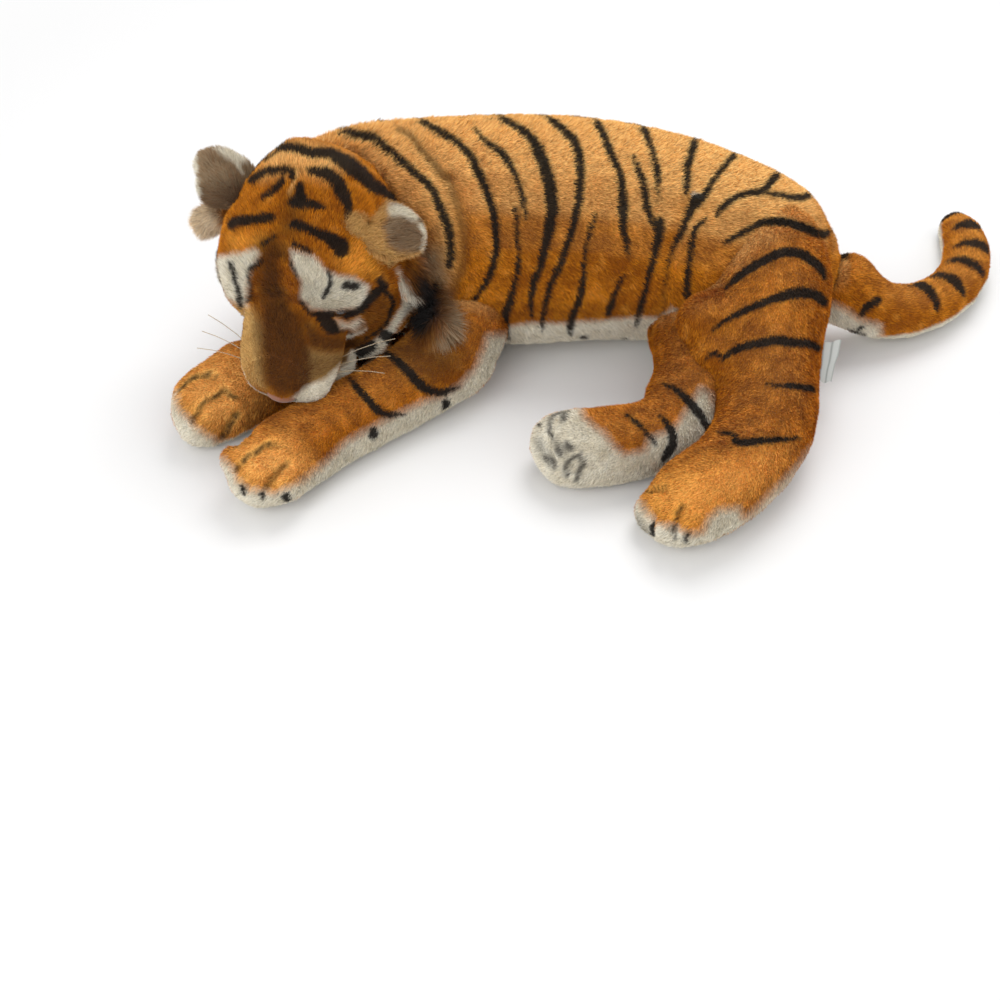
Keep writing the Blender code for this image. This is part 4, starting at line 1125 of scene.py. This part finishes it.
LIMBS = {
    "left_foreleg": {
        "spine": [(-0.105, -0.106, 0.060), (-0.138, -0.161, 0.050), (-0.188, -0.202, 0.045),
                  (-0.243, -0.244, 0.042), (-0.295, -0.297, 0.042), (-0.333, -0.331, 0.040),
                  (-0.355, -0.348, 0.036)],
        "root": 0.045,
        "settling": 0.026,
        "swellings": [((231, 457), 0.012, 0.009), ((254, 469), 0.013, 0.010),
                      ((290, 484), 0.018, 0.013), ((345, 452), 0.020, -0.006),
                      ((478, 376), 0.030, 0.009)],
        "toes": routes("""236,471 241,463 248,456 257,451 265,446 273,444 /
            265,490 272,480 279,472 287,464 / 236,441 244,437 252,434 / 243,492 246,486"""),
        "stripes": routes("""
            384,351 395,357 409,370 420,382 429,389 441,392 453,389 461,386
                | 5 8 10 11 10 8 6 3 /
            351,378 359,388 369,398 379,409 391,414 406,414 | 5 8 8 9 7 3 /
            375,431 375,434 | 9 9 /
            447,402 447,405 | 9 9 /
            242,488 244,492 | 6 6 /
            262,494 264,498 | 5 5 /
            287,495 289,499 | 8 8"""),
        "fine_lines": routes("236,471 241,463 248,456 257,451 265,446 273,444 281,446 | 3 3 3 2"),
        # Painted shade: darker brown along two of the toe grooves.
        "faint": ("brown", 0.7, routes("""
            265,490 272,480 279,472 287,464 | 5 5 4 / 236,441 244,437 252,434 | 3 3""")),
        # The brown patch is painted shadow, cast by the head on the foreleg's top at its root.
        "patches": patches("""
            white 9 1 | 300,482 322,466 348,441 370,429 382,422 409,409 426,401 441,397 461,386
                476,369 485,348 489,334 540,330 560,520 200,560 212,452 223,457 230,467 238,481
                250,490 275,493 /
            brown 12 0.5 | 384,334 410,338 440,340 470,352 462,374 430,386 404,372 390,352"""),
        # Painted highlight over the paw's top.
        "top": places("232,440 290,434 312,466 290,488 240,486"),
        "top_gold": 0.5,
    },
    "right_foreleg": {
        "spine": [(-0.198, -0.031, 0.032), (-0.257, -0.087, 0.034), (-0.305, -0.134, 0.036),
                  (-0.348, -0.182, 0.042), (-0.387, -0.218, 0.042), (-0.412, -0.238, 0.040),
                  (-0.426, -0.246, 0.036)],
        "root": 0.030,
        "settling": 0.010,
        "swellings": [((185, 398), 0.013, 0.008), ((206, 414), 0.012, 0.007),
                      ((233, 406), 0.012, 0.006), ((238, 352), 0.022, 0.010)],
        "toes": routes("""179,391 185,384 193,377 204,374 215,376 /
            192,422 199,412 207,402 216,397 225,391 / 224,437 228,430 232,422 238,415"""),
        "fine_lines": routes("""179,391 185,384 193,377 204,374 215,376 | 3.5 3 /
            192,422 199,412 207,402 216,397 225,391 232,394 238,397 | 3 3 /
            224,437 228,430 232,422 238,415 | 5 4"""),
        "patches": patches("""
            white 9 1 | 150,385 175,391 177,406 192,425 206,434 221,442 260,470 150,480"""),
        # Painted highlight over the paw's top.
        "top": places("170,388 200,352 262,330 262,400 240,430 205,430"),
        "top_gold": 0.5,
        "pale_height": (0.020, 0.008),
    },
    "left_hind_leg": {
        "spine": [(0.240, -0.060, 0.100), (0.228, -0.124, 0.090), (0.222, -0.200, 0.070),
                  (0.211, -0.276, 0.055), (0.166, -0.337, 0.048), (0.116, -0.368, 0.046),
                  (0.079, -0.380, 0.040)],
        "root": 0.075,
        "settling": 0.034,
        "front": [((713, 322), -0.163, (0.041, 0.030, 0.034)),
                  ((718, 354), -0.190, (0.033, 0.028, 0.030)),
                  ((728, 384), -0.213, (0.024, 0.022, 0.026))],
        "evened": ((716, 345), -0.190, 0.055, 14),
        "back_drawn_in": 0.011,
        "swellings": [((641, 512), 0.020, 0.009), ((664, 522), 0.012, 0.007),
                      ((694, 522), 0.012, 0.006)],
        "slide": ((0.268, -0.215, 0.100), 0.050, (-0.009, 0, 0)),
        "toes": routes("""683,507 679,516 677,526 675,535 / 648,490 656,488 666,490 /
            657,508 653,520 651,533"""),
        "stripes": routes("""
            715,215 720,207 733,197 747,192 758,191 769,181 776,172 | 4 7 7 6 7 8 8 /
            758,192 774,194 790,197 801,197 809,192 | 4 5 7 7 8 /
            723,243 731,237 746,229 760,222 776,220 790,222 806,228 820,234 828,229
                | 4 6 8 8 9 9 9 9 6 /
            725,287 736,277 750,267 766,258 782,251 798,251 811,258 820,267 824,277
                | 4 8 9 9 10 10 10 9 5 /
            712,330 722,322 738,312 753,305 769,299 785,294 801,291 816,294 824,301
                | 3 5 7 8 9 11 12 11 9 /
            720,358 734,349 747,344 761,341 777,339 793,341 808,342 817,346
                | 4 8 9 10 10 10 9 8 /
            705,358 711,354 718,352 722,359 | 3 6 5 /
            765,383 780,384 798,385 813,388 | 3 5 7 8 /
            720,432 729,432 736,435 736,440 749,441 767,439 784,438 801,437 | 4 5 5 7 8 7 6 3 /
            655,524 652,534 | 6 8 /
            689,533 687,541 | 5 5"""),
        "fine_lines": routes("""684,507 679,516 676,526 675,539 | 3 4 4 4 /
            647,491 656,490 666,487 | 3 4 3"""),
        "faint": ("dark", 0.4, routes("638,514 641,524 648,532 | 5 7 5")),
        "patches": patches("""
            white 9 1 | 630,486 640,498 646,512 655,522 676,527 690,535 705,532 711,517 722,509
                741,507 746,517 758,508 775,490 790,475 802,462 810,450 818,442 870,440 860,520
                760,560 600,580 600,486"""),
        # Painted highlight over the paw's top.
        "top": places("640,486 690,462 760,446 790,448 774,480 745,504 700,526 650,514"),
        "top_gold": 0.28,
        "pale_height": (0.024, 0.012),
    },
    "right_hind_leg": {
        "spine": [(0.144, -0.106, 0.050), (0.147, -0.178, 0.050), (0.131, -0.244, 0.044),
                  (0.087, -0.275, 0.042), (0.020, -0.286, 0.042), (-0.012, -0.288, 0.038),
                  (-0.026, -0.288, 0.034)],
        "root": 0.045,
        "settling": 0.022,
        "swellings": [((548, 438), 0.032, 0.013), ((652, 392), 0.026, 0.007)],
        "slide": ((-0.028, -0.278, 0.045), 0.045, (-0.007, 0, 0)),
        "toes": routes("552,430 548,445 552,460"),
        "stripes": routes("""
            663,382 677,389 689,399 699,411 706,421 710,432 708,440 703,444 691,452 680,461
                | 3 7 9 9 7 8 8 7 5 3 /
            660,414 668,423 674,433 674,445 667,456 663,463 | 3 7 9 10 7 4 /
            629,415 637,421 648,432 655,440 658,445 | 5 5 5 5 2 /
            540,421 541,425 | 4 4"""),
        "fine_lines": routes("""
            569,411 555,416 550,426 551,434 555,438 | 3 4 4 /
            566,415 565,419 | 5 5 /
            567,444 571,448 | 7 7 /
            557,448 561,454 | 5 6 /
            547,457 555,465 | 8 6 /
            581,454 571,460 567,467 568,476 | 3 4 4 4 /
            581,454 585,463 581,471 578,480 | 4 5 5 4"""),
        "faint": ("dark", 0.35, routes("""
            538,440 542,450 556,462 | 7 8 6 / 552,436 560,446 566,452 | 5 7 5""")),
        "patches": patches("""
            white 9 1 | 520,380 583,404 586,416 597,426 606,432 616,446 626,454 643,451 650,447
                660,470 700,460 740,520 520,520 /
            white 9 1 | 702,386 712,392 722,426 700,454 660,472 646,462 648,446 652,436 666,432
                677,426 687,410"""),
    },
    "tail": {
        "spine": [(0.318, -0.056, 0.062), (0.381, -0.061, 0.040), (0.462, -0.028, 0.034),
                  (0.527, 0.049, 0.032), (0.541, 0.136, 0.030), (0.536, 0.184, 0.022)],
        "root": 0.030,
        "settling": 0.010,
        "swellings": [((852, 272), 0.030, 0.013)],
        "slide": ((0.335, -0.058, 0.100), 0.055, (0, 0, 0.009)),
        "stripes": routes("""
            842,250 836,258 832,270 831,284 | 10 7 /
            860,314 868,306 877,300 | 7 9 /
            846,333 861,327 | 4 4 /
            850,342 862,340 | 4 4"""),
        "patches": patches("""
            white 9 1 | 826,300 845,310 860,320 880,326 880,360 845,345 820,322"""),
        "rings": (0.32, 0.44, 0.57, 0.70, 0.83),
        "tip": 0.030,
    },
}


RING_TURN = 1.15
RING_STEPS = 24


def rings(hide, spine, shares, width=0.011, lean=0.12):
    """Stripes over the upper side of the tail, at shares of its spine."""
    spine = smooth_route(spine, 0.004)
    for share in shares:
        at = int(share * (len(spine) - 2))
        centre, way = Vector(spine[at]), Vector(spine[at + 1] - spine[at]).normalized()
        side = way.cross(Vector((0, 0, 1))).normalized()
        up = side.cross(way)
        ring = []
        for turn in np.linspace(-RING_TURN, RING_TURN, RING_STEPS):
            way_out = side * math.sin(turn) + up * math.cos(turn) + way * lean * turn
            hit = hide.tree.ray_cast(centre, way_out)[0]
            if hit is not None:
                ring.append(hit)
        if ring:
            widths = width * (1 - 0.7 * np.abs(np.linspace(-1, 1, len(ring))) ** 2)
            hide.stroke("black", ring, widths)


def limb_hide(name, limb):
    nodes = [f"{name}_{part}" for part in ("upper_cover", "under_cover", "stuffing", "fold")]
    mounds = [(limb["spine"][0], (limb["root"],) * 3)]
    mounds += [(at_pixel(place, depth), radii) for place, depth, radii in limb.get("front", ())]
    hide = Hide(f"{name}_hide", name, nodes, mounds)
    if "evened" in limb:
        place, depth, reach, times = limb["evened"]
        hide.relax(at_pixel(place, depth), reach, times)
    if "back_drawn_in" in limb:
        back = smoothstep(0.035, 0.095, hide.co[:, 2]) * smoothstep(0.235, 0.300, hide.co[:, 0])
        hide.move(np.outer(back, (-limb["back_drawn_in"], 0, 0)))
    return hide


def mark_limb(hide, limb, targets):
    """Paints a limb's print and its painted shade and highlights, with its stripes on every target
    that they cross.
    """
    # Painted shade: brown along the toe grooves.
    paint("brown", limb.get("toes", ()), [hide], edge=0.003, amount=0.5)
    paint("dark", limb.get("fine_lines", ()), [hide], edge=0.0014, amount=0.8)
    paint("black", limb.get("stripes", ()), targets)
    if "faint" in limb:
        layer, amount, faint = limb["faint"]
        paint(layer, faint, [hide], amount=amount)
    for patch in limb["patches"]:
        hide.patch(*patch)
    # Painted highlight: amber and gold over the top of the paw, where light falls on it.
    if "top" in limb:
        hide.patch("amber", softness=14, amount=0.9, corners=limb["top"])
        hide.patch("gold", softness=20, amount=limb["top_gold"], corners=limb["top"])
    if "rings" in limb:
        rings(hide, limb["spine"], limb["rings"])
        hide.layers["black"][hide.gap(limb["spine"][-1]) < limb["tip"]] = DEEP_IN_STRIPE


def make_limb(name, limb, torso):
    hide = limb_hide(name, limb)
    for swelling in limb["swellings"]:
        hide.swell(*swelling)
    if "slide" in limb:
        hide.slide(*limb["slide"])
    hide.settle(torso, limb["settling"])
    toes = limb.get("toes", ())
    hide.crease(toes, depth=0.0090, reach=0.0048)
    mark_limb(hide, limb, [hide, torso] if name == "left_hind_leg" else [hide])
    high, low = limb.get("pale_height", (0.030, 0.018))
    hide.add("white", smoothstep(high, low, hide.co[:, 2]))
    sunk = hide.inside(torso)
    # Painted highlight: gold where the coat faces up, stronger near the torso so that it runs on
    # from the torso's.
    hide.add("gold", up_facing_highlight(hide) * (0.12 + 0.75 * smoothstep(0.030, 0.0, -sunk)))
    comb_along(hide, limb["spine"])
    hide.length[:] = LIMB_PILE
    grooves = [point for route in toes for point in cast(route, [hide])[0]]
    if grooves:
        from_groove = smoothstep(0.002, 0.012, hide.near(grooves))
        hide.length *= GROOVE_PILE_SHARE + (1 - GROOVE_PILE_SHARE) * from_groove
    sparse_underneath(hide)
    hide.share *= smoothstep(0.010, 0.005, sunk)
    return hide


# Head and ears

HEAD_CENTRE = Vector((-0.2712, -0.1118, 0.1562))
HEAD_LEFT = Vector((0.971, -0.236, 0.033)).normalized()
HEAD_FORWARD = Vector((-0.211, -0.916, -0.342)).normalized()
HEAD_UP = HEAD_LEFT.cross(HEAD_FORWARD) * -1
MUZZLE_TIP = Vector((-0.303, -0.258, 0.090))


def head_place(forward, left, up):
    """A place in the head's own frame, from its centre."""
    return HEAD_CENTRE + HEAD_FORWARD * forward + HEAD_LEFT * left + HEAD_UP * up


def lay(ways, share, direction):
    """Turns the pile's ways towards a direction by a share."""
    return ways * (1 - share[:, None]) + share[:, None] * np.array(direction)


def make_head(torso, foreleg):
    mounds = [(head_place(0.058, 0.060, -0.056), (0.026, 0.020, 0.020)),
              (head_place(0.030, 0.078, -0.045), (0.024, 0.020, 0.024)),
              (at_pixel((217, 217), -0.085), (0.015, 0.013, 0.015)),
              (at_pixel((206, 222), -0.085), (0.013, 0.012, 0.015))]
    mounds += [(drop(place, [torso, foreleg]), (0.018, 0.015, 0.020)) for place in RUFF_ROOTS]
    head = Hide("head_hide", "head",
                ["head_cover_left", "head_cover_right", "head_stuffing", "muzzle_bridge_cover",
                 "muzzle_side_cover", "muzzle_stuffing", "chin", "cheek_ruff_left",
                 "cheek_ruff_right"], mounds, HEAD_VOXEL, smoothing=7, depth=HEAD_DEPTH)
    for swelling in HEAD_SWELLINGS:
        head.swell(*swelling)
    head.slide((-0.2925, -0.262, 0.090), 0.014, (0, -0.0015, -0.001))
    head.crease(routes("300,152 290,190 283,235"), depth=0.0012, reach=0.004)
    head.crease(MUZZLE_CREASES, depth=0.002, reach=0.006)
    head.crease(routes("322,318 350,318"), depth=0.003, reach=0.009)
    paint("black", [route * (1, 1, HEAD_STRIPE_WIDENING) for route in HEAD_STRIPES], [head])
    paint("white", HEAD_WHITE_LINES, [head], edge=0.003)
    paint("gold", routes("306,152 299,170 289,196 | 3 3"), [head], amount=0.8)
    for patch in HEAD_PATCHES:
        head.patch(*patch)
    head.fade("black", softness=3, corners=EYE_TUFT)
    head.fade("brown", softness=5, corners=BRIDGE_ORANGE)
    tip_gap = head.gap(MUZZLE_TIP)
    ruff = smoothstep(0.034, 0.012, head.near_pixels(RUFF_PLACES))
    tuft = smoothstep(0.024, 0.012, head.near_pixels(TUFT_PLACES))
    head.add("white", smoothstep(-0.35, -0.75, head.normal[:, 2]) * (tip_gap < 0.12))
    head.add("white", tuft * 0.55)
    head.add("yellow", tuft * 0.8)
    head.layers["black"][tuft > 0.2] = -LAYER_LIMIT
    ways = (head.co - np.array(MUZZLE_TIP)) / tip_gap[:, None]
    ways = ways * (1 - 2 * smoothstep(0.050, 0.030, tip_gap)[:, None])
    ways = lay(lay(ways, ruff, RUFF_COMB), tuft, TUFT_COMB)
    head.comb = tangent(ways, head.normal)
    head.length = HEAD_PILE + CROWN_PILE * smoothstep(0.045, 0.12, tip_gap)
    head.length += ruff * RUFF_PILE + tuft * TUFT_PILE
    sparse_underneath(head, steepness=-0.85, least=0.4)
    head.mirror(HEAD_CENTRE, HEAD_LEFT)
    return head


EARS = {
    "left": {
        "mounds": [((362, 226), -0.152, (0.017, 0.014, 0.018)),
                   ((384, 248), -0.150, (0.022, 0.016, 0.016))],
        "shift": (-0.009, 0.0, -0.005),
        "patches": patches("""
            yellow 4 1 | 340,195 385,198 389,208 380,226 384,246 398,254 426,256 428,280 370,280
                340,240 /
            brown 4 0.35 | 388,228 408,218 420,232 422,250 400,252 388,246 /
            white 4 1 | 384,204 404,204 417,214 412,220 398,214 386,216"""),
        "pale_lines": routes("417,224 424,238 423,250 | 5 5"),
    },
    "right": {
        "mounds": [((222, 180), -0.095, (0.022, 0.016, 0.020))],
        "shift": (-0.003, 0.0, -0.009),
        # The brown patch is painted shade on the ear's lower band.
        "patches": patches("""
            white 4 1 | 217,150 250,150 250,166 238,166 228,160 /
            brown 4 0.35 | 188,188 252,188 252,216 188,216"""),
        "pale_lines": routes("196,160 191,172 192,186 200,196 | 6 6 / 238,166 244,176 | 5 3"),
    },
}


def make_ear(side, ear):
    hide = Hide(f"ear_{side}_hide", f"ear_{side}",
                [f"ear_back_{side}", f"ear_lining_{side}", f"ear_fold_{side}"],
                [(at_pixel(place, depth), radii) for place, depth, radii in ear["mounds"]],
                EAR_VOXEL, smoothing=3, depth=0.0)
    hide.move(np.array([ear["shift"]] * len(hide.co)))
    hide.layers["taupe"][:] = 1.0
    for patch in ear["patches"]:
        hide.patch(*patch)
        if patch[0] == "yellow":
            hide.fade("taupe", softness=4, corners=patch[-1])
    if side == "left":
        unseen = hide.facing < 0
        hide.layers["gold"][unseen] = 0.7
        hide.layers["taupe"][unseen] = 0.2
    paint("white", ear["pale_lines"], [hide])
    hide.comb = tangent(hide.co - np.array(HEAD_CENTRE), hide.normal)
    hide.length[:] = EAR_PILE
    return hide


# The dressed bodies


def attach(hide, piece):
    """Bakes a limb's or the torso's hide or coat in place, and makes the other hides and coats
    follow their bodies.
    """
    if hide.body in LIMBS:
        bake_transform(piece)
    elif hide.body == "torso":
        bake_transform(piece)
    else:
        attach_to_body(piece, hide.body)


def dress(hide):
    skin = hide.finish()
    skin.data.materials.append(BODY_FINISH)
    if hide.body in LIMBS or hide.body == "torso":
        coats = grow(hide, skin, BODY_FINISH, FIBRES, FIBRE_WIDTH)
    else:
        coats = grow(hide, skin, BODY_FINISH, FINE_FIBRES, FINE_FIBRE_WIDTH)
    for name in ("strand", "along"):
        hide.write(name, np.full(len(hide.co), 0.5))
    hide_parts(*hide.nodes)
    for piece in (skin, *coats):
        attach(hide, piece)


make_camera()
torso = make_torso()
limbs = {name: make_limb(name, limb, torso) for name, limb in LIMBS.items()}
head = make_head(torso, limbs["left_foreleg"])
ears = [make_ear(side, ear) for side, ear in EARS.items()]
for hide in (torso, head, *limbs.values(), *ears):
    dress(hide)


# Eyes, nose, whiskers and label

EYE_RADIUS = 0.0095
EYE_STEPS = 48
EYE_DOME = 0.5
EYE_DEPTH = 0.4
EYE_SHIFT = Vector((0, -0.004, 0.002))
EYE_PROFILE = [(0.0, 0.0), (0.30, 0.0), (0.55, -0.02), (0.75, -0.07), (0.90, -0.16), (0.98, -0.30),
               (1.0, -0.42), (0.96, -0.50), (0.80, -0.56), (0.28, -0.58), (0.26, -1.6),
               (0.0, -1.62)]
LABEL_SIZE = (0.022, 0.042)
LABEL_ROWS = 24
LABEL_COLUMNS = 12


def put_on(piece, node, body):
    """Puts a piece in the place of a CAD node, on its body."""
    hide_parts(node)
    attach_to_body(piece, body)


def dress_nodes(names, finish):
    for name in names:
        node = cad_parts[name]
        node.data.materials.clear()
        node.data.materials.append(finish)


def node_corners(name):
    low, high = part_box(name)
    return Vector(low), Vector(high)


def make_eye(side):
    """A moulded eye on its shank, with a domed face over a flat iris."""
    low, high = node_corners(f"eye_{side}")
    centre = (low + high) / 2
    turn = (centre - HEAD_CENTRE).normalized().to_track_quat('Z', 'Y').to_matrix()
    bm = bmesh.new()
    iris = bm.verts.layers.float.new("iris")
    rows = []
    for across, depth in EYE_PROFILE:
        dome = EYE_DOME * (1 - across * across) ** 0.5 * EYE_RADIUS if depth > -0.3 else 0
        row = []
        for step in range(EYE_STEPS if across else 1):
            angle = 2 * math.pi * step / EYE_STEPS
            local = Vector((across * EYE_RADIUS * math.cos(angle),
                            across * EYE_RADIUS * math.sin(angle),
                            depth * EYE_RADIUS * EYE_DEPTH + dome))
            vertex = bm.verts.new(centre + EYE_SHIFT + turn @ local)
            vertex[iris] = across if depth > -0.5 else 2.0
            row.append(vertex)
        rows.append(row)
    for first, second in zip(rows, rows[1:]):
        for step in range(EYE_STEPS):
            other = (step + 1) % EYE_STEPS
            loop = [first[step % len(first)], second[step % len(second)],
                    second[other % len(second)], first[other % len(first)]]
            loop = list(dict.fromkeys(loop))
            if len(loop) > 2:
                bm.faces.new(loop)
    bmesh.ops.recalc_face_normals(bm, faces=bm.faces)
    eye = add_object(f"moulded_eye_{side}", to_mesh(f"moulded_eye_{side}", bm))
    shade_smooth(eye.data)
    eye.data.materials.append(EYE_FINISH)
    put_on(eye, f"eye_{side}", "head")


def make_nose():
    skin = remeshed(joined("nose_velour", ["nose"]), NOSE_VOXEL, smoothing=4, depth=0.0)
    nose = add_object("nose_velour", skin)
    nose.data.materials.append(VELOUR_FINISH)
    put_on(nose, "nose", "head")


def make_label(thigh):
    """A bare folded cloth tab, sewn in behind the thigh."""
    low, high = node_corners("care_label")
    root = thigh.tree.find_nearest(Vector((low.x, high.y, high.z)))[0]
    shift = root.x + 0.001 - low.x
    low.x += shift
    high.x += shift
    bm = bmesh.new()
    weave = bm.verts.layers.float_vector.new("weave")
    grid = []
    for row in range(LABEL_ROWS + 1):
        along = row / LABEL_ROWS
        grid.append([])
        for column in range(LABEL_COLUMNS + 1):
            across = column / LABEL_COLUMNS
            wave = 0.0012 * math.sin(9 * along + 2 * across) + 0.0010 * math.cos(7 * across)
            vertex = bm.verts.new(Vector((
                low.x + (high.x - low.x) * across - 0.007 * along * (0.6 + across),
                high.y + (low.y - high.y) * along + wave,
                high.z + (low.z - high.z) * along + wave)))
            vertex[weave] = (across * LABEL_SIZE[0], along * LABEL_SIZE[1], 0)
            grid[-1].append(vertex)
    for above, below in zip(grid, grid[1:]):
        for column in range(LABEL_COLUMNS):
            bm.faces.new((above[column], above[column + 1], below[column + 1], below[column]))
    label = add_object("care_label_cloth", to_mesh("care_label_cloth", bm))
    label.data.materials.append(label_finish())
    put_on(label, "care_label", "left_hind_leg")


dress_nodes(["eye_washer_left", "eye_washer_right"], WASHER_FINISH)
dress_nodes([f"whisker_{side}_{number}" for side in ("left", "right") for number in (1, 2, 3)],
            NYLON_FINISH)
make_eye("left")
make_eye("right")
make_nose()
make_label(limbs["left_hind_leg"])
make_room()

bpy.context.view_layer.update()
